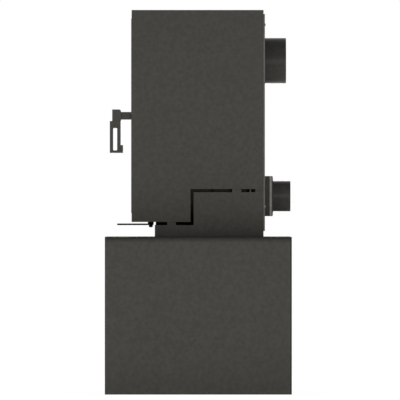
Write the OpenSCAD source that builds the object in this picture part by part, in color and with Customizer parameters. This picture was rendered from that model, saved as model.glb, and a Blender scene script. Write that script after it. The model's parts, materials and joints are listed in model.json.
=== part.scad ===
// Steel wood stove on a wide log box, with a stepped plinth between them.
// Millimetres. The origin is on the floor, below the middle of the log box.
// The front is at -Y, the flue and air spigots are at +Y, and +Z is up.

/* [Log box] */
// Width of the log box
base_w = 900; // [760:2:1000]
// Depth of the log box
base_d = 610; // [590:2:700]
// Height of the log box
base_h = 514; // [360:2:620]
// Sheet thickness of the log box
base_t = 3; // [2:0.5:5]
// Outer radius of its long edges
base_r = 20; // [8:1:26]
// Thickness of its rear panel
base_back_t = 4.4; // [3:0.2:6]
// Width of the folded lip round its open front
base_lip_w = 20; // [12:1:40]
// Width of the folded flange behind, which takes the rear panel
base_flange_w = 26; // [20:1:40]
// Height of the channels under its top
rail_h = 40; // [20:1:60]
// Width of those channels
rail_w = 60; // [40:1:90]

/* [Plinth] */
// Height of the low front part of the plinth
plinth_low_h = 39; // [30:1:60]
// Extra height of its rear part
plinth_step_h = 108; // [100:1:140]
// Depth of the whole plinth
plinth_d = 356; // [320:1:400]
// Depth of its high rear part
plinth_high_d = 229; // [210:1:250]
// Height of the shadow gap between plinth and stove
gap_h = 10; // [6:0.5:16]
// Distance of the dark shroud behind the side face
shroud_inset = 24; // [10:1:40]

/* [Body] */
// Width over the side panels
body_w = 580; // [560:2:640]
// Depth of the side panels
body_d = 432; // [420:2:480]
// Height from the lowest edge of the side panels to the top
body_h = 694; // [680:2:900]
// Distance of the side panels' front edge behind the front of the log box
body_setback = 86.5; // [60:0.5:100]
// Sheet thickness of the cladding and plinth
sheet_t = 3; // [2:0.5:4]
// Thickness of the top plate
top_t = 5; // [3:0.5:8]
// Width of the flange folded along a side panel's rear edge
rear_flange_w = 20; // [14:1:24]
// Thickness of the rear heat shield
shield_t = 4.5; // [2:0.5:8]
// Distance of its top edge below the stove's top
shield_drop = 13; // [5:1:40]
// Distance of its lower edge above the log box
shield_lift = 19.5; // [10:0.5:40]

/* [Firebox] */
// Plate thickness of the welded firebox
plate_t = 5; // [4:0.5:6]
// Convection space between a side panel and the firebox
side_space = 25; // [22:1:30]
// Space between the firebox and the heat shield
rear_space = 28.5; // [24:0.5:34]
// Space between the firebox roof and the top plate
roof_space = 12; // [8:1:30]
// Width of the flat land between the fire opening and the door's sealing rope
seal_land = 8; // [6:1:14]
// Distance of the front plate behind the side panels' front edge
front_plate_set = 28.5; // [28:0.1:30]
// Thickness of the lining boards
lining_t = 30; // [25:1:34]
// Thickness of the baffle board
baffle_t = 27; // [20:1:32]
// Height of the baffle's rear edge above the firebox floor
baffle_z = 312; // [280:2:315]
// Rise of the baffle per millimetre of depth
baffle_slope = 0.48; // [0.3:0.02:0.5]
// Free distance between the baffle's front edge and the front plate
baffle_front_gap = 85; // [70:5:120]
// Width of the smoke deflector that hangs from the firebox roof in front of the flue
deflector_w = 220; // [190:5:280]
// Height of the smoke deflector
deflector_h = 140; // [130:2:150]
// Free distance between the smoke deflector and the firebox's rear wall
deflector_gap = 30; // [26:1:50]
// Height of the log retainer
retainer_h = 34; // [24:1:50]

/* [Grate and ash pan] */
// Width of the grate
grate_w = 240; // [180:2:300]
// Depth of the grate
grate_d = 120; // [100:2:126]
// Distance of the grate's middle behind the front plate
grate_set = 82; // [78:1:84]
// Thickness of the grate
grate_t = 14; // [10:1:20]
// Width of the grate's slots
grate_slot_w = 9; // [6:1:12]
// Number of slots
grate_slots = 11; // [7:1:13]
// Depth of the well that holds the ash pan
well_h = 74; // [60:1:76]
// Height of the ash pan
pan_h = 56; // [40:1:64]
// Sheet thickness of the well and the pan
pan_t = 2; // [1.5:0.5:3]

/* [Door] */
// Distance that the door stands proud of the side panels
door_proud = 1.3; // [0:0.1:3]
// Gap between door and side panel
door_gap = 3; // [2.5:0.1:4]
// Height of the fascia below the door, with the gap
door_lift = 29.5; // [28:0.5:36]
// Height of the fascia above the door, with the gap
door_top_band = 28; // [26:0.5:40]
// Thickness of the door's front plate
door_t = 5; // [4:0.5:6]
// Depth of the door, front face to the back of its rim
door_depth = 21.8; // [20:0.1:22]
// Width of the door's visible border round the glass
door_border = 79; // [76:1:100]
// Thickness of the glass
glass_t = 4; // [3:0.5:5]
// Diameter of the sealing rope
rope_d = 12; // [10:1:13]
// Distance of the rope's middle from the door's edge
rope_inset = 46; // [45:0.5:50]
// Diameter of the hinge pins
hinge_pin_d = 6; // [5:0.5:7]
// Distance of the hinge axis from the door's left edge
hinge_inset = 12; // [11:0.5:14]
// Distance of the hinge axis behind the door's front face
hinge_depth = 8; // [7.6:0.1:8.4]

/* [Handle] */
// Distance of the handle's spindle from the door's right edge
spindle_inset = 22; // [20:0.5:24]
// Diameter of the spindle in the door
spindle_d = 14; // [10:0.5:16]
// Height of the square stem in front of the door
stem_h = 25; // [18:1:30]
// Length of the stem
stem_l = 33.6; // [24:0.2:50]
// Depth of the head block
head_d = 28.6; // [20:0.2:40]
// Height of the head block
head_h = 38; // [30:1:50]
// Width of the head block
head_w = 30; // [24:1:36]
// Chamfer of the head block
head_chamfer = 4; // [0:1:12]
// Height of the hanging grip
grip_h = 104.3; // [80:0.1:140]
// Depth of the grip
grip_d = 35.5; // [28:0.5:44]
// Width of the grip
grip_w = 26; // [18:1:30]
// Height of the slot in the grip
slot_h = 73.4; // [50:0.2:78]
// Depth of the slot in the grip
slot_d = 13.2; // [8:0.2:16]
// Height of the small foot behind the grip's lower end
foot_h = 25.6; // [15:0.1:40]
// Length that the foot stands out
foot_d = 7.8; // [4:0.2:12]

/* [Combustion air] */
// Outer diameter of the air spigot
air_d = 100; // [80:1:110]
// Length of the air spigot
air_l = 59; // [40:1:59]
// Height of the air spigot's axis above the log box
air_z = 133.8; // [125:0.2:140]
// Side of the square neck
neck_w = 132; // [125:1:140]
// Depth of the neck
neck_l = 16.8; // [10:0.2:24]
// Thickness of the neck's gasket
neck_gasket_t = 6.5; // [3:0.5:8]
// Thickness of the spigot's flange
air_flange_t = 3; // [2:0.5:5]
// Wall of the air spigot
air_wall = 2; // [1.5:0.5:3]
// Width of the air duct below the firebox
duct_w = 120; // [100:2:124]
// Length of the air lever in front of its pivot
lever_l = 110.9; // [80:0.1:140]
// Width of the air lever
lever_w = 18.4; // [16:0.2:24]
// Thickness of the air lever
lever_t = 5.4; // [3:0.2:6]
// Diameter of the air valve's shaft
valve_shaft_d = 8; // [6:1:10]
// Diameter of the air valve's disc
valve_disc_d = 50; // [40:2:52]
// Diameter of each port in the disc
valve_port_d = 14; // [8:1:16]

/* [Flue] */
// Outer diameter of the flue collar
flue_d = 150; // [130:1:160]
// Wall of the flue collar
flue_wall = 3; // [2:0.5:5]
// Length of the collar behind the heat shield
flue_l = 70.8; // [50:0.2:84]
// Reduction of its radius inside the body, which stops the stove pipe
flue_set_in = 1.6; // [1.4:0.1:2.4]
// Height of the collar's axis above the lowest edge of the side panels
flue_z = 530.9; // [515:0.1:560]
// Diameter of the collar's flange
flue_flange_d = 196; // [190:1:210]

/* [Fasteners] */
// Head diameter of the small screws
screw_head_d = 9; // [6:0.5:10]
// Head height of the small screws
screw_head_h = 2; // [1.5:0.1:2.4]
// Shank diameter of the small screws
screw_d = 4; // [3:0.5:5]
// Thread diameter of the bolts
bolt_d = 8; // [6:1:10]
// Width across flats of the bolts' nuts and heads
bolt_af = 13; // [12:0.5:16]

/* [Hidden] */

$fn = 64;
paint = "#45443f";
black = "#17161a";
zinc = "#b9b9b4";
board = "#c9b78f";
iron = "#2c2b2a";

// Overrun of every cut
over = 1;
// Clearance between pieces that move or slip together
slip = 0.3;
// Radial clearance of a running fit
fit = 0.05;

// Log box
base_x = base_w / 2;
base_front = -base_d / 2;
base_rear = base_d / 2;
base_shell_rear = base_rear - base_back_t;
channel_x = base_x - base_r - base_t;
panel_screws_across = 4;

// Plinth and body
body_x = body_w / 2;
panel_in = body_x - sheet_t;
body_front = base_front + body_setback;
body_rear = body_front + body_d;
plinth_front_y = body_rear - plinth_d;
step_y = body_rear - plinth_high_d;
low_top = base_h + plinth_low_h;
high_top = low_top + plinth_step_h;
body_bottom = low_top + gap_h;
body_step = high_top + gap_h;
body_step_y = step_y - gap_h;
body_top = body_bottom + body_h;
join_z = high_top + gap_h / 2;

// Tabs that bridge the shadow gap, measured back from the plinth's front
low_tab_at = 40.3;
low_tab_w = 29.5;
high_tab_at = 252.9;
high_tab_w = 31.1;
fin_tab_at = 310.4;
fin_tab_w = 4.7;
rear_join_w = 27;

// Firebox
box_x = panel_in - side_space;
box_in = box_x - plate_t;
front_plate_y = body_front + front_plate_set;
box_front = front_plate_y + plate_t;
box_rear = body_rear - rear_space;
box_in_rear = box_rear - plate_t;
floor_z = body_step + sheet_t;
floor_top = floor_z + plate_t;
roof_z = body_top - top_t - roof_space - plate_t;
brick_top = floor_top + lining_t;
chamber_x = box_in - lining_t;
chamber_rear = box_in_rear - lining_t;

// Grate, well and pan
grate_y = box_front + grate_set;
grate_rim = 6;
grate_ledge = 7;
grate_gap = 1;
well_x = grate_w / 2 - grate_ledge;
well_y0 = grate_y - grate_d / 2 + grate_ledge;
well_y1 = grate_y + grate_d / 2 - grate_ledge;
pan_gap = 2;

// Door
door_x = panel_in - door_gap;
door_front = body_front - door_proud;
door_back = door_front + door_t;
rim_back = door_front + door_depth;
door_z0 = body_bottom + door_lift;
door_z1 = body_top - door_top_band;
door_h = door_z1 - door_z0;
hinge_x = -door_x + hinge_inset;
hinge_y = door_front + hinge_depth;
rim_t = 4;
glass_x = door_x - door_border;
glass_lap = 8;
gasket_t = 2;
rope_x = door_x - rope_inset;
rope_r = rope_d / 2;
rope_y = front_plate_y - slip - rope_r;
opening_x = rope_x - rope_r - seal_land;
opening_top = door_z1 - rope_inset - rope_r - seal_land;
channel_drop = 2;
channel_back = rim_back - channel_drop;
channel_half = 12;
boss_r = 4.5;
boss_gap = 2;
boss_x = glass_x + glass_lap + boss_r + boss_gap;
retainer_t = 2.5;
retainer_w = 22;
knuckle_l = 24;
pin_reach = 18;
washer_t = 2;
bracket_t = 4.5;

// Handle
spindle_x = door_x - spindle_inset;
handle_z = (door_z0 + door_z1) / 2;
spindle_r = spindle_d / 2;
stem_w = 20;
stem_front = door_front - slip - stem_l;
head_front = stem_front - head_d + slip;
head_drop = 4.7;
head_z0 = handle_z - stem_h / 2 - head_drop;
grip_proud = 7.9;
grip_front = head_front - grip_proud;
grip_z0 = head_z0 - grip_h;
slot_floor = 8.2;
slot_front = 10.9;
slot_corner = 3;
tongue_t = 5;
tongue_w = 12;
tongue_l = 21;
tongue_y = rim_back + slip;
tongue_hub_wall = 2;
tongue_hub_r = spindle_r + tongue_hub_wall;
keeper_t = 4;
keeper_lip_y0 = tongue_y - slip - keeper_t;

// Combustion air
air_axis = base_h + air_z;
air_r = air_d / 2;
neck_z0 = air_axis - neck_w / 2;
neck_z1 = air_axis + neck_w / 2;
neck_wall = 2.5;
shield_rear = body_rear + shield_t;
neck_rear = shield_rear + neck_l;
gasket_rear = neck_rear + neck_gasket_t;
flange_rear = gasket_rear + air_flange_t;
duct_x = duct_w / 2;
duct_t = 2;
duct_z0 = body_bottom + sheet_t;
duct_low_h = 31;
duct_high_h = 74;
duct_low_top = duct_z0 + duct_low_h;
duct_top = duct_z0 + duct_high_h;
duct_turn_gap = 10;
duct_turn_y = body_step_y - duct_turn_gap;
manifold_d = 58;
manifold_rear = box_front + manifold_d;
riser_x0 = box_x;
riser_x1 = panel_in - sheet_t;
riser_port_h = 50;
port_plate_rise = 13;
port_plate_z = duct_z0 + port_plate_rise;
port_radius = 15;
pivot_gap = 14.1;
pivot_y = plinth_front_y - pivot_gap;
lever_washer_h = 5.1;
lever_washer_d = 19.5;
lever_z1 = body_bottom - slip - lever_washer_h;
lever_z0 = lever_z1 - lever_t;
lever_nut_h = 6.4;
lever_thread = 1;

// Flue
flue_axis = body_bottom + flue_z;
flue_r = flue_d / 2;
flue_end = shield_rear + flue_l;
flue_bore = flue_r - flue_wall;
flue_neck_r = flue_r - flue_set_in;
flue_neck_bore = flue_bore - flue_set_in;

// A plate or block between two corners
module slab(x0, x1, y0, y1, z0, z1)
    translate([x0, y0, z0])
        cube([x1 - x0, y1 - y0, z1 - z0]);

// A block that reaches as far to the left as to the right
module middle_slab(x, y0, y1, z0, z1)
    slab(-x, x, y0, y1, z0, z1);

// Extrudes an outline drawn in side view, as (y, z) points, from x0 to x1
module side_sheet(x0, x1, points)
    translate([x0, 0, 0])
        rotate([90, 0, 90])
            linear_extrude(x1 - x0)
                polygon(points);

// A round bar along the depth, from y0 to y1
module depth_rod(x, z, y0, y1, r)
    translate([x, y0, z])
        rotate([-90, 0, 0])
            cylinder(h = y1 - y0, r = r);

// An upright round bar from z0 to z1
module upright_rod(x, y, z0, z1, r)
    translate([x, y, z0])
        cylinder(h = z1 - z0, r = r);

// An upright hexagon, with its width across flats, from z0 to z1
module hexagon(x, y, z0, z1, across)
    translate([x, y, z0])
        cylinder(h = z1 - z0, r = across / sqrt(3), $fn = 6);

// A rounded frame section standing on the floor, seen from the front
module rounded_block(x, y0, y1, z0, z1, r) {
    middle_slab(x - r, y0, y1, z0, z1);
    middle_slab(x, y0, y1, z0 + r, z1 - r);
    for (side = [-1, 1])
        for (z = [z0 + r, z1 - r])
            depth_rod(side * (x - r), z, y0, y1, r);
}

// A rectangular ring in the plane of the door, between an inner and an outer half width
module door_ring(inner, outer, y0, y1)
    difference() {
        middle_slab(outer, y0, y1, door_z0 + door_x - outer, door_z1 - door_x + outer);
        middle_slab(inner, y0 - over, y1 + over, door_z0 + door_x - inner, door_z1 - door_x + inner);
    }

// Mirrors its children to the other side of the stove, and keeps the first
module both_sides() {
    children();
    mirror([1, 0, 0])
        children();
}

module base_shell()
    color(paint)
        difference() {
            rounded_block(base_x, base_front, base_shell_rear, 0, base_h, base_r);
            rounded_block(base_x - base_t, base_front + base_t, base_shell_rear - base_t,
                base_t, base_h - base_t, base_r - base_t);
            middle_slab(base_x - base_lip_w, base_front - over, base_front + base_t + over,
                base_lip_w, base_h - base_lip_w);
            middle_slab(base_x - base_flange_w, base_shell_rear - base_t - over, base_rear,
                base_flange_w, base_h - base_flange_w);
            base_screw_places()
                depth_rod(0, 0, base_shell_rear - base_t - over, base_rear, screw_d / 2 + fit);
            for (place = plinth_bolt_places)
                upright_rod(place.x, place.y, base_h - base_t - over, base_h + over, bolt_d / 2 + fit);
        }

// Places of the rear panel's screws, in rows along its lower and upper flange
module base_screw_places() {
    reach = base_x - base_flange_w;
    for (i = [0 : panel_screws_across - 1])
        for (z = [base_flange_w / 2, base_h - base_flange_w / 2])
            translate([-reach + 2 * reach * i / (panel_screws_across - 1), 0, z])
                children();
}

module base_rear_panel()
    color(paint)
        difference() {
            rounded_block(base_x, base_shell_rear, base_rear, 0, base_h, base_r);
            base_screw_places() {
                depth_rod(0, 0, base_shell_rear - over, base_rear, screw_d / 2 + fit);
                depth_rod(0, 0, base_rear - screw_head_h, base_rear + over, screw_head_d / 2 + fit);
            }
        }

module base_panel_screws()
    color(zinc)
        base_screw_places() {
            depth_rod(0, 0, base_shell_rear - base_t - screw_d, base_rear - screw_head_h, screw_d / 2);
            depth_rod(0, 0, base_rear - screw_head_h, base_rear, screw_head_d / 2);
        }

module base_top_channels()
    color(paint)
        for (y = plinth_bolt_rows)
            difference() {
                middle_slab(channel_x, y - rail_w / 2, y + rail_w / 2,
                    base_h - base_t - rail_h, base_h - base_t);
                middle_slab(channel_x + over, y - rail_w / 2 + base_t, y + rail_w / 2 - base_t,
                    base_h - rail_h, base_h);
            }

// Outline of a plinth side, with the tabs that reach up to the stove
plinth_outline = [
    [plinth_front_y, base_h],
    [body_rear, base_h],
    [body_rear, join_z],
    [body_rear - rear_join_w, join_z],
    [body_rear - rear_join_w, high_top],
    [plinth_front_y + fin_tab_at + fin_tab_w, high_top],
    [plinth_front_y + fin_tab_at + fin_tab_w, body_step],
    [plinth_front_y + fin_tab_at, body_step],
    [plinth_front_y + fin_tab_at, high_top],
    [plinth_front_y + high_tab_at + high_tab_w, high_top],
    [plinth_front_y + high_tab_at + high_tab_w, body_step],
    [plinth_front_y + high_tab_at, body_step],
    [plinth_front_y + high_tab_at, high_top],
    [step_y, high_top],
    [step_y, low_top],
    [plinth_front_y + low_tab_at + low_tab_w, low_top],
    [plinth_front_y + low_tab_at + low_tab_w, body_bottom],
    [plinth_front_y + low_tab_at, body_bottom],
    [plinth_front_y + low_tab_at, low_top],
    [plinth_front_y, low_top]];

module plinth_side_left()
    color(paint)
        side_sheet(-body_x, -panel_in, plinth_outline);

module plinth_side_right()
    color(paint)
        side_sheet(panel_in, body_x, plinth_outline);

module plinth_front()
    color(paint)
        middle_slab(panel_in, plinth_front_y, plinth_front_y + sheet_t, base_h, low_top);

// Stepped sheet that closes the plinth, with the opening that lets the air duct through
module plinth_deck()
    color(paint)
        difference() {
            union() {
                middle_slab(panel_in, plinth_front_y + sheet_t, step_y + sheet_t,
                    low_top - sheet_t, low_top);
                middle_slab(panel_in, step_y, step_y + sheet_t, low_top, high_top);
                middle_slab(panel_in, step_y + sheet_t, box_rear, high_top - sheet_t, high_top);
            }
            middle_slab(duct_x + slip, step_y - over, step_y + sheet_t + over,
                low_top - sheet_t - over, duct_top + slip);
            for (place = plinth_bolt_places)
                upright_rod(place.x, place.y, low_top - sheet_t - over, high_top + over,
                    bolt_d / 2 + fit);
        }

module plinth_rear()
    color(paint)
        middle_slab(panel_in, body_rear - sheet_t, body_rear, base_h, neck_z0 - sheet_t);

// Dark sheet behind the shadow gap. Short windows in it look into the hollow behind,
// as far as an upright web that also carries the stove's floor.
shroud_window_share = [[0.29, 0.323], [0.596, 0.634], [0.865, 0.913], [0.939, 0.985]];
shroud_window_rim = 1;
shroud_t = 3;
shroud_x = body_x - shroud_inset;
web_x = 170;
module gap_shroud()
    color(black)
        both_sides() {
            difference() {
                side_sheet(shroud_x - shroud_t, shroud_x, [
                    [plinth_front_y + sheet_t, low_top],
                    [step_y, low_top],
                    [step_y, high_top],
                    [box_rear, high_top],
                    [box_rear, body_step],
                    [body_step_y, body_step],
                    [body_step_y, body_bottom],
                    [plinth_front_y + sheet_t, body_bottom]]);
                for (share = shroud_window_share)
                    slab(shroud_x - shroud_t - over, shroud_x + over,
                        step_y + share[0] * (box_rear - step_y), step_y + share[1] * (box_rear - step_y),
                        high_top + shroud_window_rim, body_step - shroud_window_rim);
            }
            slab(web_x, web_x + shroud_t, step_y, box_rear, high_top, body_step);
        }

pad_x = 200;
pad_w = 50;
pad_deep = 20;
module spacer_pads()
    color(black)
        both_sides() {
            slab(pad_x, pad_x + pad_w, plinth_front_y + pad_w, plinth_front_y + 2 * pad_w,
                low_top, body_bottom);
            slab(pad_x, pad_x + pad_w, step_y + 2 * sheet_t, step_y + 2 * sheet_t + pad_w,
                high_top, body_step);
            slab(pad_x, pad_x + pad_w, step_y + 2 * pad_w, step_y + 2 * pad_w + pad_deep,
                high_top, body_step);
        }

// Bolts that hold the plinth down to the log box, inside the low front part and the rear part
plinth_bolt_x = 150;
plinth_bolt_rows = [plinth_front_y + pad_w, body_rear - pad_w];
plinth_bolt_places = [for (side = [-1, 1]) for (y = plinth_bolt_rows) [side * plinth_bolt_x, y]];
plinth_bolt_rise = 6;
module plinth_bolts()
    color(zinc)
        for (place = plinth_bolt_places)
            translate([place.x, place.y, 0]) {
                upright_rod(0, 0, base_h - base_t - bolt_d, (place.y < step_y ? low_top : high_top)
                    + plinth_bolt_rise / 2, bolt_d / 2);
                hexagon(0, 0, base_h - base_t - bolt_d, base_h - base_t, bolt_af);
                hexagon(0, 0, place.y < step_y ? low_top : high_top,
                    (place.y < step_y ? low_top : high_top) + plinth_bolt_rise, bolt_af);
            }

// Outline of a side panel, with its step over the high part of the plinth
panel_outline = [
    [body_front, body_bottom],
    [body_step_y, body_bottom],
    [body_step_y, body_step],
    [body_rear - rear_join_w, body_step],
    [body_rear - rear_join_w, join_z],
    [body_rear, join_z],
    [body_rear, body_top],
    [body_front, body_top]];

module side_panel_right()
    color(paint) {
        side_sheet(panel_in, body_x, panel_outline);
        difference() {
            slab(panel_in - rear_flange_w, panel_in, body_rear - sheet_t, body_rear, join_z,
                body_top - top_t);
            for (place = shield_screw_places)
                depth_rod(place.x, place.y, body_rear - sheet_t - over, body_rear + over,
                    screw_d / 2 + fit);
        }
    }

module side_panel_left()
    mirror([1, 0, 0])
        side_panel_right();

// Top plate between the side panels, with rows of slots for the warm air
top_slots = 13;
top_slot_w = 10;
top_slot_l = 26;
top_slot_inset = 40;
module top_plate()
    color(paint)
        difference() {
            middle_slab(panel_in, body_front, body_rear, body_top - top_t, body_top);
            for (i = [0 : top_slots - 1])
                translate([(i - (top_slots - 1) / 2) * (panel_in * 2 - top_slot_inset) / top_slots,
                    body_rear - top_slot_inset, 0])
                    slab(-top_slot_w / 2, top_slot_w / 2, -top_slot_l / 2, top_slot_l / 2,
                        body_top - top_t - over, body_top + over);
        }

// Sheet strip above the door, folded back to the front plate
module upper_fascia()
    color(paint) {
        middle_slab(panel_in, body_front, body_front + sheet_t,
            door_z1 + door_gap, body_top - top_t);
        middle_slab(panel_in, body_front + sheet_t, front_plate_y,
            door_z1 + door_gap + bracket_t + sheet_t, door_z1 + door_gap + bracket_t + 2 * sheet_t);
    }

module lower_fascia()
    color(paint) {
        middle_slab(panel_in, body_front, body_front + sheet_t, body_bottom, door_z0 - washer_t);
        middle_slab(panel_in, body_front + sheet_t, front_plate_y,
            door_z0 - washer_t - bracket_t - sheet_t, door_z0 - washer_t - bracket_t);
    }

// Stepped floor under the stove, with the air duct's opening in its riser
module body_floor()
    color(paint)
        difference() {
            union() {
                middle_slab(panel_in, body_front + sheet_t, body_step_y, body_bottom,
                    body_bottom + sheet_t);
                middle_slab(panel_in, body_step_y - sheet_t, body_step_y, body_bottom + sheet_t,
                    body_step + sheet_t);
                middle_slab(panel_in, body_step_y, box_rear, body_step, body_step + sheet_t);
            }
            middle_slab(duct_x + slip, body_step_y - sheet_t - over, body_step_y + over,
                body_bottom + sheet_t, duct_top + slip);
            upright_rod(0, pivot_y, body_bottom - over, body_bottom + sheet_t + over,
                valve_shaft_d / 2 + fit);
        }

module rear_heat_shield()
    color("#6b6a66")
        difference() {
            middle_slab(panel_in, body_rear, shield_rear, base_h + shield_lift, body_top - shield_drop);
                depth_rod(0, flue_axis, body_rear - over, shield_rear + over, flue_r + 2 * slip);
            middle_slab(neck_w / 2 - neck_wall, body_rear - over, shield_rear + over,
                neck_z0 + neck_wall, neck_z1 - neck_wall);
            for (place = shield_screw_places)
                depth_rod(place.x, place.y, body_rear - over, shield_rear + over, screw_d / 2 + fit);
        }

// Places of the screws that hold the heat shield, as (x, z)
shield_screw_x = panel_in - rear_flange_w / 2;
shield_screw_inset = 35.2;
neck_screw_gap = 14;
neck_screw_lift = 31.7;
shield_screw_rows = 2;
shield_screw_z0 = body_step + shield_screw_inset;
shield_screw_z1 = body_top - shield_drop - shield_screw_inset;
shield_screw_places = concat(
    [for (side = [-1, 1]) for (i = [0 : shield_screw_rows - 1])
        [side * shield_screw_x,
            shield_screw_z0 + i * (shield_screw_z1 - shield_screw_z0) / (shield_screw_rows - 1)]],
    [for (side = [-1, 1]) [side * (neck_w / 2 + neck_screw_gap), neck_z0 + neck_screw_lift]]);
flange_screw_x = neck_w / 2 - screw_head_d;

// Identical pan-head screws in the heat shield and in the spigot's flange
module zinc_screws()
    color(zinc) {
        for (place = shield_screw_places) {
            depth_rod(place.x, place.y, body_rear - sheet_t - slip, shield_rear, screw_d / 2);
            depth_rod(place.x, place.y, shield_rear, shield_rear + screw_head_h, screw_head_d / 2);
        }
        for (x = [-flange_screw_x, flange_screw_x])
            for (z = [-flange_screw_x, flange_screw_x]) {
                depth_rod(x, air_axis + z, neck_rear, flange_rear, screw_d / 2);
                depth_rod(x, air_axis + z, flange_rear, flange_rear + screw_head_h, screw_head_d / 2);
            }
    }

// Side wall of the firebox, with the port that feeds the airwash duct from the riser
module firebox_side_right()
    color(black)
        difference() {
            slab(box_in, box_x, box_front, box_in_rear, floor_top, roof_z);
            slab(box_in - over, box_x + over, box_front + duct_t, manifold_rear - duct_t,
                roof_z - riser_port_h, roof_z - duct_t);
        }

module firebox_side_left()
    mirror([1, 0, 0])
        firebox_side_right();

module firebox_rear()
    color(black)
        difference() {
            middle_slab(box_x, box_in_rear, box_rear, floor_top, roof_z);
            depth_rod(0, flue_axis, box_in_rear - over, box_rear + over, flue_neck_bore);
            collar_bolt_places()
                depth_rod(0, 0, box_in_rear - over, box_rear + over, bolt_d / 2 + fit);
        }

// Roof of the firebox, with the plate that keeps the smoke from the straight way out
module firebox_roof()
    color(black) {
        middle_slab(box_x, box_front, box_rear, roof_z, roof_z + plate_t);
        middle_slab(deflector_w / 2, box_in_rear - deflector_gap - plate_t, box_in_rear - deflector_gap,
            roof_z - deflector_h, roof_z);
    }

module firebox_floor()
    color(black)
        difference() {
            middle_slab(box_x, box_front, box_rear, floor_z, floor_top);
            middle_slab(well_x, well_y0, well_y1, floor_z - over, floor_top + over);
        }

module firebox_front()
    color(black)
        difference() {
            middle_slab(panel_in, front_plate_y, box_front, body_bottom + sheet_t, body_top - top_t);
            middle_slab(opening_x, front_plate_y - over, box_front + over, floor_top, opening_top);
        }

// Four bolts round the flue outlet
module collar_bolt_places()
    for (a = [45 : 90 : 315])
        translate([0, 0, flue_axis])
            rotate([0, a, 0])
                translate([(flue_r + flue_flange_d / 2) / 2, 0, 0])
                    children();

module flue_collar()
    color(black)
        difference() {
            union() {
                depth_rod(0, flue_axis, shield_rear, flue_end, flue_r);
                depth_rod(0, flue_axis, box_rear, shield_rear, flue_neck_r);
                depth_rod(0, flue_axis, box_rear, box_rear + flue_wall, flue_flange_d / 2);
            }
            depth_rod(0, flue_axis, box_rear - over, flue_end + over, flue_neck_bore);
            depth_rod(0, flue_axis, shield_rear + flue_wall, flue_end + over, flue_bore);
            collar_bolt_places()
                depth_rod(0, 0, box_rear - over, box_rear + flue_wall + over, bolt_d / 2 + fit);
        }

module collar_bolts()
    color(zinc)
        collar_bolt_places() {
            depth_rod(0, 0, box_in_rear, box_rear + flue_wall, bolt_d / 2);
            depth_rod(0, 0, box_rear + flue_wall, box_rear + flue_wall + bolt_d / 2, bolt_af / 2);
        }

// Height of the baffle's lower face at a depth y
function baffle_under(y) = floor_top + baffle_z + baffle_slope * (box_in_rear - y);

module lining_right()
    color(board)
        side_sheet(chamber_x, box_in, [
            [box_front, brick_top],
            [box_in_rear, brick_top],
            [box_in_rear, baffle_under(box_in_rear)],
            [box_front, baffle_under(box_front)]]);

module lining_left()
    mirror([1, 0, 0])
        lining_right();

module lining_rear()
    color(board)
        side_sheet(-chamber_x, chamber_x, [
            [chamber_rear, brick_top],
            [box_in_rear, brick_top],
            [box_in_rear, baffle_under(box_in_rear)],
            [chamber_rear, baffle_under(chamber_rear)]]);

module lining_floor()
    color(board)
        difference() {
            middle_slab(box_in, box_front, box_in_rear, floor_top, brick_top);
            middle_slab(grate_w / 2 + grate_gap, grate_y - grate_d / 2 - grate_gap,
                grate_y + grate_d / 2 + grate_gap, floor_top - over, brick_top + over);
        }

baffle_front = box_front + baffle_front_gap;
module baffle_board()
    color(board)
        side_sheet(-box_in, box_in, [
            [baffle_front, baffle_under(baffle_front)],
            [box_in_rear, baffle_under(box_in_rear)],
            [box_in_rear, baffle_under(box_in_rear) + baffle_t],
            [baffle_front, baffle_under(baffle_front) + baffle_t]]);

retainer_bar_t = 6;
module log_retainer()
    color(iron)
        middle_slab(chamber_x, box_front, box_front + retainer_bar_t, brick_top, brick_top + retainer_h);

// Cast grate with a bevelled row of slots
module grate()
    color(iron)
        difference() {
            middle_slab(grate_w / 2, grate_y - grate_d / 2, grate_y + grate_d / 2,
                floor_top, floor_top + grate_t);
            for (i = [0 : grate_slots - 1])
                translate([(i - (grate_slots - 1) / 2) * (grate_w - 4 * grate_ledge) / grate_slots,
                    grate_y, 0])
                    grate_slot();
        }

module grate_slot() {
    reach = grate_d / 2 - grate_ledge - grate_rim;
    slab(-grate_slot_w / 2, grate_slot_w / 2, -reach, reach, floor_top - over, floor_top + grate_t + over);
    for (y = [-reach, reach])
        upright_rod(0, y, floor_top - over, floor_top + grate_t + over, grate_slot_w / 2);
}

module ash_well()
    color(black)
        difference() {
            middle_slab(well_x + pan_t, well_y0 - pan_t, well_y1 + pan_t, floor_z - well_h, floor_z);
            middle_slab(well_x, well_y0, well_y1, floor_z - well_h + pan_t, floor_z + over);
        }

module ash_pan()
    color(zinc)
        difference() {
            middle_slab(well_x - pan_gap, well_y0 + pan_gap, well_y1 - pan_gap,
                floor_z - well_h + pan_t, floor_z - well_h + pan_t + pan_h);
            middle_slab(well_x - pan_gap - pan_t, well_y0 + pan_gap + pan_t, well_y1 - pan_gap - pan_t,
                floor_z - well_h + 2 * pan_t, floor_z);
        }

// Duct inside the top of the firebox, which sends air down over the glass
module airwash_duct()
    color(black) {
        middle_slab(box_in, manifold_rear - duct_t, manifold_rear,
            roof_z - riser_port_h - 2 * duct_t, roof_z);
        middle_slab(box_in, box_front + riser_port_h / 4, manifold_rear - duct_t,
            roof_z - riser_port_h - 2 * duct_t, roof_z - riser_port_h - duct_t);
    }

// Ducts that lift the air beside the firebox, from the manifold to the airwash
module air_risers()
    color(black)
        both_sides()
            difference() {
                slab(riser_x0, riser_x1, box_front, manifold_rear, duct_low_top, roof_z);
                slab(riser_x0 + duct_t, riser_x1 - duct_t, box_front + duct_t, manifold_rear - duct_t,
                    duct_low_top - over, roof_z - duct_t);
                slab(riser_x0 - over, riser_x0 + duct_t + over, box_front + duct_t,
                    manifold_rear - duct_t, roof_z - riser_port_h, roof_z - duct_t);
            }

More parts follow.
